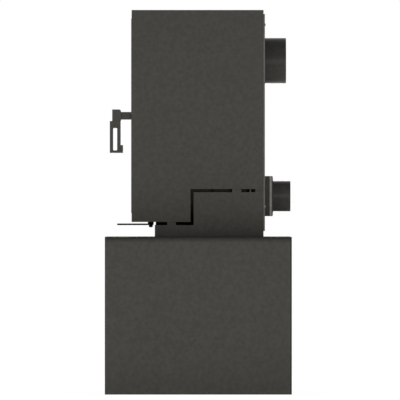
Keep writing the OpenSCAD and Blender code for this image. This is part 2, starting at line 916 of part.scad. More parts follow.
// Air duct from the rear plenum to the manifold, with the port plate under the valve's disc
module air_duct()
    color(black)
        difference() {
            union() {
                difference() {
                    union() {
                        middle_slab(duct_x, duct_turn_y, box_rear, duct_z0, duct_top);
                        middle_slab(duct_x, manifold_rear, duct_turn_y, duct_z0, duct_low_top);
                        middle_slab(riser_x1, box_front, manifold_rear, duct_z0, duct_low_top);
                        middle_slab(neck_w / 2, box_rear, body_rear, neck_z0, neck_z1);
                    }
                    middle_slab(duct_x - duct_t, duct_turn_y + duct_t, box_rear + duct_t + over,
                        max(neck_z0, duct_z0) + duct_t, duct_top - duct_t);
                    middle_slab(duct_x - duct_t, manifold_rear - over, duct_turn_y + duct_t + over,
                        duct_z0 + duct_t, duct_low_top - duct_t);
                    middle_slab(riser_x1 - duct_t, box_front + duct_t, manifold_rear - duct_t,
                        duct_z0 + duct_t, duct_low_top - duct_t);
                    middle_slab(duct_x - duct_t, manifold_rear - duct_t - over, manifold_rear + over,
                        duct_z0 + duct_t, port_plate_z);
                    both_sides()
                        slab(riser_x0 + duct_t, riser_x1 - duct_t, box_front + duct_t,
                            manifold_rear - duct_t, duct_low_top - duct_t - over, duct_low_top + over);
                    middle_slab(neck_w / 2 - duct_t, box_rear + duct_t, body_rear + over,
                        neck_z0 + duct_t, neck_z1 - duct_t);
                }
                middle_slab(duct_x - duct_t, box_front + duct_t, manifold_rear - duct_t,
                    port_plate_z, port_plate_z + duct_t);
                for (x = [-duct_x, duct_x - duct_t])
                    slab(x, x + duct_t, box_front + duct_t, manifold_rear - duct_t, duct_z0 + duct_t,
                        port_plate_z + duct_t);
            }
            for (side = [-1, 1])
                upright_rod(side * port_radius, pivot_y, port_plate_z - over,
                    port_plate_z + duct_t + over, valve_port_d / 2);
            upright_rod(0, pivot_y, duct_z0 - over, port_plate_z + duct_t + over, valve_shaft_d / 2 + fit);
        }

module air_neck()
    color(paint)
        difference() {
            middle_slab(neck_w / 2, shield_rear, neck_rear, neck_z0, neck_z1);
            middle_slab(neck_w / 2 - neck_wall, shield_rear - over, neck_rear - neck_wall,
                neck_z0 + neck_wall, neck_z1 - neck_wall);
            depth_rod(0, air_axis, neck_rear - neck_wall - over, neck_rear + over, air_r - air_wall);
        }

module air_neck_gasket()
    color(zinc)
        difference() {
            middle_slab(neck_w / 2, neck_rear, gasket_rear, neck_z0, neck_z1);
            depth_rod(0, air_axis, neck_rear - over, gasket_rear + over, air_r - air_wall);
            flange_screw_holes(neck_rear, gasket_rear);
        }

module flange_screw_holes(y0, y1)
    for (x = [-flange_screw_x, flange_screw_x])
        for (z = [-flange_screw_x, flange_screw_x])
            depth_rod(x, air_axis + z, y0 - over, y1 + over, screw_d / 2 + fit);

module air_spigot()
    color(paint)
        difference() {
            union() {
                middle_slab(neck_w / 2, gasket_rear, flange_rear, neck_z0, neck_z1);
                depth_rod(0, air_axis, flange_rear, flange_rear + air_l, air_r);
            }
            depth_rod(0, air_axis, gasket_rear - over, flange_rear + air_l + over, air_r - air_wall);
            flange_screw_holes(gasket_rear, flange_rear);
        }

// Hinge brackets above and below the door, with the bores that hold the pins
bracket_x0 = -door_x;
bracket_x1 = hinge_x + hinge_inset;
module hinge_brackets()
    color(black)
        for (z = [door_z1 + door_gap, door_z0 - washer_t - bracket_t])
            difference() {
                slab(bracket_x0, bracket_x1, body_front + sheet_t, front_plate_y, z, z + bracket_t);
                upright_rod(hinge_x, hinge_y, z - over, z + bracket_t + over, hinge_pin_d / 2);
            }

module hinge_pins()
    color(zinc) {
        upright_rod(hinge_x, hinge_y, door_z1 - pin_reach, door_z1 + door_gap + bracket_t, hinge_pin_d / 2);
        upright_rod(hinge_x, hinge_y, door_z0 - washer_t - bracket_t, door_z0 + pin_reach, hinge_pin_d / 2);
    }

module hinge_washer()
    color("#a98a4a")
        difference() {
            upright_rod(hinge_x, hinge_y, door_z0 - washer_t, door_z0, hinge_pin_d);
            upright_rod(hinge_x, hinge_y, door_z0 - washer_t - over, door_z0 + over, hinge_pin_d / 2 + fit);
        }

// Hooked keeper on the front plate, which the latch tongue turns in behind
keeper_gap = 1.2;
keeper_x1 = door_x - rim_t - keeper_gap;
keeper_x0 = spindle_x + tongue_hub_r + slip;
keeper_lip_h = 20;
module latch_keeper()
    color(zinc) {
        slab(keeper_x0, keeper_x1, keeper_lip_y0, front_plate_y,
            handle_z + tongue_w / 2 + slip, handle_z + keeper_lip_h);
        slab(keeper_x0, keeper_x1, keeper_lip_y0, keeper_lip_y0 + keeper_t,
            handle_z - keeper_lip_h / 2, handle_z + keeper_lip_h);
    }

// Door frame: front plate with the window, rim, rope channel, bosses and hinge knuckles
module door_frame()
    color(paint)
        difference() {
            union() {
                door_ring(glass_x, door_x, door_front, door_back);
                door_ring(door_x - rim_t, door_x, door_back, rim_back);
                door_ring(rope_x - channel_half, rope_x + channel_half, door_back, channel_back);
                retainer_places()
                    depth_rod(0, 0, door_back, door_back + gasket_t + glass_t, boss_r);
                for (z = [door_z0, door_z1 - knuckle_l])
                    slab(-door_x, hinge_x + hinge_inset, door_back, hinge_y + hinge_pin_d / 2 + rim_t,
                        z, z + knuckle_l);
                depth_rod(spindle_x, handle_z, door_back, keeper_lip_y0 - slip, spindle_r + rim_t);
            }
            door_ring(rope_x - rope_r, rope_x + rope_r, rope_y - rope_r, rim_back);
            retainer_places()
                depth_rod(0, 0, door_back, door_back + gasket_t + glass_t + over, screw_d / 2 + fit);
            for (z = [door_z0 - over, door_z1 - pin_reach - slip])
                upright_rod(hinge_x, hinge_y, z, z + pin_reach + slip + over, hinge_pin_d / 2 + fit);
            depth_rod(spindle_x, handle_z, door_front - over, rim_back + over, spindle_r + fit);
        }

// Places of the screws that clamp the glass: two on each upright and two on each cross strip
retainer_share = [-0.7, 0.7];
glass_half_h = door_h / 2 - door_border;
module retainer_places() {
    for (side = [-1, 1])
        for (share = retainer_share) {
            translate([side * boss_x, 0, handle_z + share * glass_half_h])
                children();
            translate([share * glass_x, 0, handle_z + side * (boss_x - glass_x + glass_half_h)])
                children();
        }
}

module door_glass()
    color("#2a2f30")
        middle_slab(glass_x + glass_lap, door_back + gasket_t, door_back + gasket_t + glass_t,
            handle_z - glass_half_h - glass_lap, handle_z + glass_half_h + glass_lap);

module glass_gasket()
    color("#d8d6cc")
        door_ring(glass_x, glass_x + glass_lap, door_back, door_back + gasket_t);

// Four strips that clamp the glass against its gasket
module glass_retainers() {
    y0 = door_back + gasket_t + glass_t;
    inner = glass_half_h;
    outer = glass_half_h + (boss_x - glass_x) + boss_r;
    color(black)
        difference() {
            for (side = [-1, 1]) {
                slab(min(side * glass_x, side * (boss_x + boss_r)),
                    max(side * glass_x, side * (boss_x + boss_r)),
                    y0, y0 + retainer_t, handle_z - inner, handle_z + inner);
                middle_slab(glass_x - retainer_w / 2, y0, y0 + retainer_t,
                    handle_z + min(side * inner, side * outer), handle_z + max(side * inner, side * outer));
            }
            retainer_places()
                depth_rod(0, 0, y0 - over, y0 + retainer_t + over, screw_d / 2 + fit);
        }
}

module retainer_screws()
    color(zinc)
        retainer_places() {
            y0 = door_back + gasket_t + glass_t;
            depth_rod(0, 0, y0 - glass_t, y0 + retainer_t, screw_d / 2);
            depth_rod(0, 0, y0 + retainer_t, y0 + retainer_t + screw_head_h, screw_head_d / 2);
        }

// Round sealing rope in its channel: four straight runs that meet in ball corners
module door_rope_seal() {
    half_h = door_h / 2 - rope_inset;
    color("#bdb9ae") {
        for (side = [-1, 1]) {
            upright_rod(side * rope_x, rope_y, handle_z - half_h, handle_z + half_h, rope_r);
            translate([-rope_x, rope_y, handle_z + side * half_h])
                rotate([0, 90, 0])
                    cylinder(h = 2 * rope_x, r = rope_r);
            for (z = [-half_h, half_h])
                translate([side * rope_x, rope_y, handle_z + z])
                    sphere(r = rope_r);
        }
    }
}

// Round spindle through the door
module handle_spindle()
    color(zinc)
        depth_rod(spindle_x, handle_z, door_front - slip, tongue_y + tongue_t, spindle_r);

// Outline of the head, with its rear top corner cut off
head_z1 = head_z0 + head_h;
head_rear = head_front + head_d;
module handle_head()
    color(paint) {
        side_sheet(spindle_x - head_w / 2, spindle_x + head_w / 2, [
            [head_front, head_z0],
            [head_rear, head_z0],
            [head_rear, head_z1 - head_chamfer],
            [head_rear - head_chamfer, head_z1],
            [head_front, head_z1]]);
        slab(spindle_x - stem_w / 2, spindle_x + stem_w / 2, head_rear, door_front - slip,
            handle_z - stem_h / 2, handle_z + stem_h / 2);
    }

module handle_grip()
    color(paint)
        difference() {
            union() {
                slab(spindle_x - grip_w / 2, spindle_x + grip_w / 2, grip_front, grip_front + grip_d,
                    grip_z0, head_z0);
                slab(spindle_x - grip_w / 2, spindle_x + grip_w / 2, grip_front + grip_d,
                    grip_front + grip_d + foot_d, grip_z0, grip_z0 + foot_h);
            }
            grip_slot();
        }

// Slot through the grip, with rounded corners
module grip_slot() {
    y0 = grip_front + slot_front;
    y1 = y0 + slot_d;
    z0 = grip_z0 + slot_floor;
    z1 = z0 + slot_h;
    x0 = spindle_x - grip_w / 2 - over;
    x1 = spindle_x + grip_w / 2 + over;
    slab(x0, x1, y0 + slot_corner, y1 - slot_corner, z0, z1);
    slab(x0, x1, y0, y1, z0 + slot_corner, z1 - slot_corner);
    for (y = [y0 + slot_corner, y1 - slot_corner])
        for (z = [z0 + slot_corner, z1 - slot_corner])
            translate([x0, y, z])
                rotate([0, 90, 0])
                    cylinder(h = x1 - x0, r = slot_corner);
}

// Tongue on the spindle, which hangs down like the grip
module latch_tongue()
    color(zinc)
        difference() {
            union() {
                depth_rod(spindle_x, handle_z, tongue_y, tongue_y + tongue_t, tongue_hub_r);
                slab(spindle_x - tongue_w / 2, spindle_x + tongue_w / 2, tongue_y, tongue_y + tongue_t,
                    handle_z - tongue_l, handle_z);
            }
            depth_rod(spindle_x, handle_z, tongue_y - over, tongue_y + tongue_t + over, spindle_r);
        }

// Flat air lever with round ends
module air_lever()
    color(black)
        difference() {
            union() {
                middle_slab(lever_w / 2, pivot_y - lever_l + lever_w / 2, pivot_y, lever_z0, lever_z1);
                upright_rod(0, pivot_y, lever_z0, lever_z1, lever_w / 2);
                upright_rod(0, pivot_y - lever_l + lever_w / 2, lever_z0, lever_z1, lever_w / 2);
            }
            upright_rod(0, pivot_y, lever_z0 - over, lever_z1 + over, valve_shaft_d / 2);
        }

// Nut under the lever and spacer ring above it
module lever_nut()
    color(black) {
        difference() {
            hexagon(0, pivot_y, lever_z0 - lever_nut_h, lever_z0, bolt_af);
            upright_rod(0, pivot_y, lever_z0 - lever_nut_h - over, lever_z0 + over, valve_shaft_d / 2);
        }
        difference() {
            upright_rod(0, pivot_y, lever_z1, lever_z1 + lever_washer_h, lever_washer_d / 2);
            upright_rod(0, pivot_y, lever_z1 - over, lever_z1 + lever_washer_h + over, valve_shaft_d / 2);
        }
    }

// Shaft and ported disc of the air valve
module air_valve()
    color(zinc) {
        upright_rod(0, pivot_y, lever_z0 - lever_nut_h - lever_thread, port_plate_z + duct_t + slip,
            valve_shaft_d / 2);
        difference() {
            upright_rod(0, pivot_y, port_plate_z + duct_t + slip, port_plate_z + 2 * duct_t + slip,
                valve_disc_d / 2);
            for (side = [-1, 1])
                upright_rod(side * port_radius, pivot_y, port_plate_z, duct_low_top, valve_port_d / 2);
        }
    }

base_shell();
base_rear_panel();
base_top_channels();
base_panel_screws();
plinth_side_left();
plinth_side_right();
plinth_front();
plinth_deck();
plinth_rear();
gap_shroud();
spacer_pads();
plinth_bolts();
side_panel_left();
side_panel_right();
top_plate();
upper_fascia();
lower_fascia();
body_floor();
rear_heat_shield();
zinc_screws();
firebox_side_left();
firebox_side_right();
firebox_rear();
firebox_roof();
firebox_floor();
firebox_front();
flue_collar();
collar_bolts();
lining_left();
lining_right();
lining_rear();
lining_floor();
baffle_board();
log_retainer();
ash_well();
ash_pan();
airwash_duct();
air_risers();
air_duct();
air_neck();
air_neck_gasket();
air_spigot();
hinge_brackets();
hinge_pins();
hinge_washer();
latch_keeper();
grate();
door_frame();
door_glass();
glass_gasket();
glass_retainers();
retainer_screws();
door_rope_seal();
handle_spindle();
handle_head();
handle_grip();
latch_tongue();
air_lever();
lever_nut();
air_valve();
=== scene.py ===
"""Looks of a steel wood stove on a wide log box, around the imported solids.

The solids give the construction. This script softens their edges, rebuilds the pieces that are
round, woven or cast as finer meshes, and gives each surface its paint, zinc, board or glass.
Lengths are in metres, the front of the stove is at -Y, and the floor is at z = 0.
"""
import json
import logging
import math
from dataclasses import dataclass
from enum import Enum
from typing import Sequence

import bpy
import bmesh
import numpy as np
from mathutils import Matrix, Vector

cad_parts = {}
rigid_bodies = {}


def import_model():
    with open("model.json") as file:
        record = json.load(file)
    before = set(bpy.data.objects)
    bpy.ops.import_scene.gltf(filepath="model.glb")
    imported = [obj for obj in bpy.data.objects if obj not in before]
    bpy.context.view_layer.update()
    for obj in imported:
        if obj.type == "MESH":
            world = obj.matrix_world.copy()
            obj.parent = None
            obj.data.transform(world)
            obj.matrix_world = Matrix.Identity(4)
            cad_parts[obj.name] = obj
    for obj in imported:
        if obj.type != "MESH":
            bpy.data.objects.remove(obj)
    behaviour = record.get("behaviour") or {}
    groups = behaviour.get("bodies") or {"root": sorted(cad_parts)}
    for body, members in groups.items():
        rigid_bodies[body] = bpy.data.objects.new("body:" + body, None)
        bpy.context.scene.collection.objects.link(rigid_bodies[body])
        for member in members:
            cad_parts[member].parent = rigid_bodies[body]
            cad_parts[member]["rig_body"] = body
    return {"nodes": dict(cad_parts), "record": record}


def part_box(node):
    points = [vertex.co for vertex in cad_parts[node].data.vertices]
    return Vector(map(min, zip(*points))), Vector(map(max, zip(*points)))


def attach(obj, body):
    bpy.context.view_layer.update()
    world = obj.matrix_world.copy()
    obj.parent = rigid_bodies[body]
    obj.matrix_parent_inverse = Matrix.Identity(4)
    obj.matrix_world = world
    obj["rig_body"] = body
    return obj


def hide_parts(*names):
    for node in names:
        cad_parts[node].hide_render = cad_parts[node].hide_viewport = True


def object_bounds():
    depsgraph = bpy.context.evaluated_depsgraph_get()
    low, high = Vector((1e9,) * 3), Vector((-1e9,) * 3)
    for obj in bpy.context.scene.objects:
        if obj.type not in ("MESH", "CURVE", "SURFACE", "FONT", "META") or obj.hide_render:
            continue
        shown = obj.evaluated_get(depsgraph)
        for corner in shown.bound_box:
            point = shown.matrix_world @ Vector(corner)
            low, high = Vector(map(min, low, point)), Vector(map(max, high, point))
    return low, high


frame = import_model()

CAD_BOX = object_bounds()
MM = 0.001
log = logging.getLogger("wood_stove")

Vector3 = tuple[float, float, float]
Colour = tuple[float, float, float, float]
Socket = bpy.types.NodeSocket

BLACK: Colour = (0.001, 0.001, 0.001, 1.0)
WHITE: Colour = (1.0, 1.0, 1.0, 1.0)
# A Mix node has sockets of the same name for each kind of data, so its colours go by index
MIX_A, MIX_B, MIX_RESULT = 6, 7, 2


def srgb(red: float, green: float, blue: float) -> Colour:
    """Turns a display colour, from 0 to 255, into Blender's linear colour.

    Args:
        red, green, blue: the display values.

    Returns:
        The linear colour with an alpha of one.
    """
    values = np.array([red, green, blue]) / 255.0
    low = values / 12.92
    high = ((values + 0.055) / 1.055) ** 2.4
    linear = np.where(values <= 0.04045, low, high)
    return (float(linear[0]), float(linear[1]), float(linear[2]), 1.0)


def scaled(colour: Colour, factor: float) -> Colour:
    """Makes a colour lighter or darker, and keeps it opaque."""
    red, green, blue = (channel * factor for channel in colour[:3])
    return (red, green, blue, 1.0)


def corners(node: str) -> tuple[np.ndarray, np.ndarray]:
    """Gives a node's lowest and highest corner at rest, as arrays.

    Args:
        node: the name of a solid.

    Returns:
        The two corners.
    """
    low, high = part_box(node)
    return np.array(low), np.array(high)


# Shader expressions


class Value:
    """A number in a shader: a socket whose operators add Math nodes."""

    def __init__(self, tree: "Shader", socket: Socket) -> None:
        """Holds a socket and the tree that it belongs to."""
        self.tree = tree
        self.socket = socket

    def math(self, operation: str, *others: "Value | float") -> "Value":
        """Adds one Math node.

        Args:
            operation: the node's operation.
            others: its second and third input.

        Returns:
            The node's result.
        """
        inputs = {0: self}
        inputs.update({i + 1: other for i, other in enumerate(others)})
        return self.tree.node("ShaderNodeMath", {"operation": operation}, inputs)

    def __add__(self, other: "Value | float") -> "Value":
        """Adds."""
        return self.math("ADD", other)

    def __sub__(self, other: "Value | float") -> "Value":
        """Subtracts."""
        return self.math("SUBTRACT", other)

    def __mul__(self, other: "Value | float") -> "Value":
        """Multiplies."""
        return self.math("MULTIPLY", other)

    def __truediv__(self, other: "Value | float") -> "Value":
        """Divides."""
        return self.math("DIVIDE", other)

    def size(self) -> "Value":
        """Drops the sign."""
        return self.math("ABSOLUTE")

    def step_up(self, low: float, high: float) -> "Value":
        """Maps low to 0 and high to 1 with a smooth step between them.

        Args:
            low: where the step starts.
            high: where it ends.

        Returns:
            The smooth step.
        """
        settings = {"interpolation_type": "SMOOTHSTEP"}
        inputs = {"Value": self, "From Min": low, "From Max": high}
        return self.tree.node("ShaderNodeMapRange", settings, inputs)


class Shader:
    """A material's node tree, with its Principled shader and its Object coordinates."""

    def __init__(self, name: str) -> None:
        """Makes an empty material of this name."""
        self.material = bpy.data.materials.new(name)
        self.material.use_nodes = True
        self.nodes = self.material.node_tree.nodes
        self.links = self.material.node_tree.links
        self.nodes.clear()
        self.output = self.nodes.new("ShaderNodeOutputMaterial")
        self.surface = self.nodes.new("ShaderNodeBsdfPrincipled")
        self.links.new(self.surface.outputs["BSDF"], self.output.inputs["Surface"])
        self.place = self.nodes.new("ShaderNodeTexCoord").outputs["Object"]

    def node(self, kind: str, settings: dict, inputs: dict, output: int | str = 0) -> Value:
        """Adds any node.

        Args:
            kind: the node's type.
            settings: attributes, set first.
            inputs: socket name or index to a value, a colour, a Value or a socket.
            output: the output to return.

        Returns:
            The chosen output.
        """
        made = self.nodes.new(kind)
        for key, value in settings.items():
            setattr(made, key, value)
        for key, value in inputs.items():
            self.feed(made.inputs[key], value)
        return Value(self, made.outputs[output])

    def feed(self, socket: Socket, value: "Value | Socket | float | Sequence[float]") -> None:
        """Links or sets one input.

        Args:
            socket: the input.
            value: a link or a plain value.
        """
        if isinstance(value, Value):
            self.links.new(value.socket, socket)
        elif isinstance(value, bpy.types.NodeSocket):
            self.links.new(value, socket)
        else:
            socket.default_value = value

    def set(self, **values: "Value | float | Sequence[float]") -> None:
        """Sets inputs of the Principled shader, with underscores for the blanks in their names."""
        for key, value in values.items():
            self.feed(self.surface.inputs[key.replace("_", " ")], value)

    def axis(self, name: str) -> Value:
        """Gives one of the Object coordinates, X, Y or Z, in metres."""
        return self.node("ShaderNodeSeparateXYZ", {}, {"Vector": self.place}, name)

    def noise(self, size: float, detail: float, rough: float) -> Value:
        """Gives smooth noise from 0 to 1.

        Args:
            size: the size of its blotches in metres.
            detail: the number of finer octaves.
            rough: how strong these are.

        Returns:
            The noise.
        """
        inputs = {"Vector": self.place, "Scale": 1.0 / size, "Detail": detail, "Roughness": rough}
        return self.node("ShaderNodeTexNoise", {}, inputs)

    def cells(self, size: float, output: str = "Distance") -> Value:
        """Gives a cell pattern.

        Args:
            size: the size of a cell in metres.
            output: Distance from the cell's middle, or the Color of the cell.

        Returns:
            The chosen output.
        """
        inputs = {"Vector": self.place, "Scale": 1.0 / size}
        return self.node("ShaderNodeTexVoronoi", {}, inputs, output)

    def mix(self, factor: Value, first: Sequence[float] | Value,
            second: Sequence[float] | Value) -> Value:
        """Mixes two colours.

        Args:
            factor: 0 for the first, 1 for the second.
            first: a colour.
            second: a colour.

        Returns:
            The mixed colour.
        """
        inputs = {0: factor, MIX_A: first, MIX_B: second}
        return self.node("ShaderNodeMix", {"data_type": "RGBA"}, inputs, MIX_RESULT)

    def bump(self, height: Value, depth: float, strength: float) -> Value:
        """Turns a height from 0 to 1 into a normal.

        Args:
            height: the relief.
            depth: its depth in metres.
            strength: its weight.

        Returns:
            The normal.
        """
        inputs = {"Height": height, "Distance": depth, "Strength": strength}
        return self.node("ShaderNodeBump", {}, inputs)


# Finishes


@dataclass(frozen=True)
class Paint:
    """Matt high-temperature paint with a fine grain, used on sheet and plate.

    The grain is small noise in the height and the roughness. Noise of three sizes changes the
    colour a little: the grain, a mottle of a centimetre, and the clouds of a wide sprayed panel.
    The shares say how much of each goes in, and the step spreads their sum from dark to light.
    Where the painted shade is given, it lists the height at which the colour is nearly black and
    the height from which it is plain: shade painted into the colour, darker towards the bottom.
    """

    name: str
    colour: Colour
    roughness: float = 0.52
    grain: float = 0.0011
    grain_depth: float = 0.00003
    cloud: float = 0.13
    mottle: float = 0.013
    metallic: float = 0.0
    gloss: float = 0.06
    soot: tuple[float, float] | None = None
    panel: float = 0.16
    shares: Vector3 = (0.30, 0.55, 0.15)
    step: tuple[float, float] = (0.28, 0.72)
    grain_roughness: float = 0.10
    panel_roughness: float = 0.06
    bump: float = 0.6

    def build(self) -> bpy.types.Material:
        """Makes the material."""
        shader = Shader(self.name)
        fine = shader.noise(self.grain, detail=2.0, rough=0.6)
        middling = shader.noise(self.mottle, detail=2.0, rough=0.5)
        wide = shader.noise(self.panel, detail=3.0, rough=0.55)
        dark = scaled(self.colour, 1.0 - self.cloud)
        light = scaled(self.colour, 1.0 + self.cloud)
        speck = fine * self.shares[0] + middling * self.shares[1] + wide * self.shares[2]
        colour = shader.mix(speck.step_up(*self.step), dark, light)
        # painted shade: below the given heights the colour darkens to black
        if self.soot:
            colour = shader.mix(shader.axis("Z").step_up(*self.soot), BLACK, colour)
        spread = fine * self.grain_roughness + wide * self.panel_roughness
        middle = (self.grain_roughness + self.panel_roughness) / 2
        shader.set(
            Base_Color=colour,
            Roughness=spread + (self.roughness - middle),
            Metallic=self.metallic,
            Specular_IOR_Level=self.gloss,
            Normal=shader.bump(fine, self.grain_depth, self.bump),
        )
        return shader.material


@dataclass(frozen=True)
class Plated:
    """Bright zinc plating on screws, pins and bolts, with the spangle of the bath.

    Clouds and spangle only add to the roughness, so it starts a little below the stated one.
    """

    name: str
    colour: Colour
    roughness: float = 0.34
    cloud: float = 0.004
    spangle: float = 0.0015
    dull: float = 0.8
    below: float = 0.12
    cloud_roughness: float = 0.18
    spangle_roughness: float = 0.08
    metallic: float = 0.95
    depth: float = 0.00004

    def build(self) -> bpy.types.Material:
        """Makes the material."""
        shader = Shader(self.name)
        cloud = shader.noise(self.cloud, detail=3.0, rough=0.6)
        flake = shader.cells(self.spangle)
        spread = cloud * self.cloud_roughness + flake * self.spangle_roughness
        dull = scaled(self.colour, self.dull)
        shader.set(
            Base_Color=shader.mix(cloud.step_up(low=0.3, high=0.7), dull, self.colour),
            Roughness=spread + (self.roughness - self.below),
            Metallic=self.metallic,
            Normal=shader.bump(cloud, self.depth, strength=0.5),
        )
        return shader.material


@dataclass(frozen=True)
class Board:
    """Pressed vermiculite: pale gold-brown flakes of several tones, with a rough face."""

    name: str
    colour: Colour
    flake: float = 0.0045
    stain: float = 0.09
    grain: float = 0.0016
    dark: float = 0.62
    flake_share: float = 0.7
    flake_relief: float = 0.4
    # the colour of the boards' soot stains, placed by noise
    soot: Colour = (0.10, 0.09, 0.08, 1.0)
    soot_share: float = 0.55
    roughness: float = 0.9
    depth: float = 0.0004

    def build(self) -> bpy.types.Material:
        """Makes the material."""
        shader = Shader(self.name)
        tone = shader.cells(self.flake, "Color")
        shade = shader.node("ShaderNodeSeparateColor", {}, {"Color": tone})
        wide = shader.noise(self.stain, detail=4.0, rough=0.6)
        fine = shader.noise(self.grain, detail=3.0, rough=0.7)
        tint = shade * self.flake_share + fine * (1.0 - self.flake_share)
        relief = shade * self.flake_relief + fine * (1.0 - self.flake_relief)
        flakes = shader.mix(tint, scaled(self.colour, self.dark), self.colour)
        sooty = wide.step_up(low=0.52, high=0.85) * self.soot_share
        shader.set(
            Base_Color=shader.mix(sooty, flakes, self.soot),
            Roughness=self.roughness,
            Normal=shader.bump(relief, self.depth, strength=0.9),
        )
        return shader.material


@dataclass(frozen=True)
class CastIron:
    """Rough grey iron as it leaves the sand, a little rusty in its hollows."""

    name: str
    colour: Colour
    grain: float = 0.0014
    stain: float = 0.03
    rust: Colour = (0.075, 0.038, 0.020, 1.0)
    rust_share: float = 0.5
    roughness: float = 0.6
    grain_roughness: float = 0.2
    metallic: float = 0.6
    depth: float = 0.0003

    def build(self) -> bpy.types.Material:
        """Makes the material."""
        shader = Shader(self.name)
        sand = shader.noise(self.grain, detail=4.0, rough=0.65)
        wide = shader.noise(self.stain, detail=3.0, rough=0.5)
        rusty = wide.step_up(low=0.55, high=0.9) * self.rust_share
        shader.set(
            Base_Color=shader.mix(rusty, self.colour, self.rust),
            Roughness=sand * self.grain_roughness + self.roughness,
            Metallic=self.metallic,
            Normal=shader.bump(sand, self.depth, strength=0.8),
        )
        return shader.material


@dataclass(frozen=True)
class Fibre:
    """Pale mineral fibre of ropes and gaskets, a little dirty."""

    name: str
    colour: Colour
    strand: float = 0.0012
    stain: float = 0.02
    stain_share: float = 0.7
    dark: float = 0.6
    roughness: float = 0.92
    depth: float = 0.00025

    def build(self) -> bpy.types.Material:
        """Makes the material."""
        shader = Shader(self.name)
        hair = shader.noise(self.strand, detail=4.0, rough=0.7)
        dirt = shader.noise(self.stain, detail=3.0, rough=0.6)
        stained = dirt.step_up(low=0.45, high=0.8)
        dirty = stained * self.stain_share + hair * (1.0 - self.stain_share)
        shader.set(
            Base_Color=shader.mix(dirty, self.colour, scaled(self.colour, self.dark)),
            Roughness=self.roughness,
            Normal=shader.bump(hair, self.depth, strength=0.8),
        )
        return shader.material


@dataclass(frozen=True)
class FireGlass:
    """Clear ceramic glass, faintly amber, with a thin sooty haze towards its edges.

    The haze follows the larger of two distances from the pane's middle, across and upwards, each
    as a share of the way to the edge. The pane is a solid, and its corners are read at rest.
    """

    name: str
    colour: Colour
    pane: str
    haze_starts: float = 0.72
    haze_full: float = 1.02
    edge_haze: float = 0.30
    cloud: float = 0.05
    cloud_haze: float = 0.05
    clear_alpha: float = 0.16
    clear_roughness: float = 0.03
    haze_roughness: float = 0.6
    refraction: float = 1.5

    def build(self) -> bpy.types.Material:
        """Makes the material."""
        low, high = corners(self.pane)
        middle = (low + high) / 2
        half = (high - low) / 2
        shader = Shader(self.name)
        across = (shader.axis("X") - middle[0]).size() / float(half[0])
        upwards = (shader.axis("Z") - middle[2]).size() / float(half[2])
        edge = across.math("MAXIMUM", upwards).step_up(self.haze_starts, self.haze_full)
        smoke = shader.noise(self.cloud, detail=4.0, rough=0.6)
        haze = edge * self.edge_haze + smoke * self.cloud_haze
        shader.set(
            Base_Color=self.colour,
            Roughness=haze * self.haze_roughness + self.clear_roughness,
            Alpha=haze + self.clear_alpha,
            IOR=self.refraction,
        )
        return shader.material


class Finish(Enum):
    """The record's material slots, with the finish that each one gets, and four further paints."""

    STOVE_PAINT = Paint("stove_paint", srgb(69, 68, 64))
    # a darker copy of the stove paint for the pipes, with less roughness: the darker colour is
    # painted shade
    PIPE_PAINT = Paint("pipe_paint", srgb(62, 61, 58), roughness=0.25)
    # a lighter copy of the stove paint for the log box, nearly without gloss: the lighter colour is
    # painted light in place of its sheen
    BASE_PAINT = Paint("base_paint", srgb(72, 71, 67), gloss=0.005)
    # a darker copy for the log box's rear panel: painted shade along its rear edge
    REAR_PAINT = Paint("rear_paint", srgb(44, 43, 41))
    # the gap shroud's steel, darkening to black towards its foot: painted shade in the shadow gap
    SHROUD_STEEL = Paint(
        "shroud_steel", srgb(50, 50, 47), roughness=0.6, grain=0.0016, grain_depth=0.00006,
        gloss=0.0, soot=(0.565, 0.67))
    FIREBOX_STEEL = Paint(
        "firebox_steel", srgb(34, 34, 33), roughness=0.6, grain=0.0016, grain_depth=0.00006)
    BLACKENED_STEEL = Paint(
        "blackened_steel", srgb(12, 12, 12), roughness=0.5, grain=0.0010, grain_depth=0.00002,
        cloud=0.05, gloss=0.02)
    SHIELD_SHEET = Paint(
        "shield_sheet", srgb(104, 103, 101), roughness=0.45, grain=0.0013, grain_depth=0.00002)
    ZINC_STEEL = Plated("zinc_steel", srgb(196, 196, 193))
    BRONZE = Plated("bronze", srgb(176, 146, 88), roughness=0.4)
    LIGHT_GASKET = Fibre("light_gasket", srgb(164, 161, 154))
    SEALING_ROPE = Fibre("sealing_rope", srgb(182, 178, 166))
    LINING_BOARD = Board("lining_board", srgb(196, 176, 136))
    CAST_IRON = CastIron("cast_iron", srgb(44, 43, 42))
    FIRE_GLASS = FireGlass("fire_glass", srgb(54, 50, 44), "door_glass")


MATERIALS: dict[str, bpy.types.Material] = {}


def material_of(slot: str) -> bpy.types.Material:
    """Gives a finish's material, made the first time that it is asked for.

    Args:
        slot: the record's name of a slot, or the name of a further paint.

    Returns:
        The material.
    """
    if slot not in MATERIALS:
        MATERIALS[slot] = Finish[slot.upper()].value.build()
    return MATERIALS[slot]


# Meshes


Surface = tuple[np.ndarray, np.ndarray]
POLE_GAP = 0.002 * MM
SAME_PLACE = 0.01 * MM
FLAT_ANGLE = 0.4
SHARP_ANGLE = 30.0
SHORTEST_EDGE = 0.3 * MM
ROUNDING_STEPS = 2
SLOT_OF: dict[str, str] = {
    part["node"]: part["material_slot"] for part in frame["record"]["subparts"]}
# the further paints of the pipes, the log box, its rear panel and the gap shroud carry painted
# light and shade
LOOK_OF: dict[str, str] = SLOT_OF | {
    "flue_collar": "pipe_paint", "air_spigot": "pipe_paint", "base_rear_panel": "rear_paint",
    "base_shell": "base_paint", "gap_shroud": "shroud_steel",
}


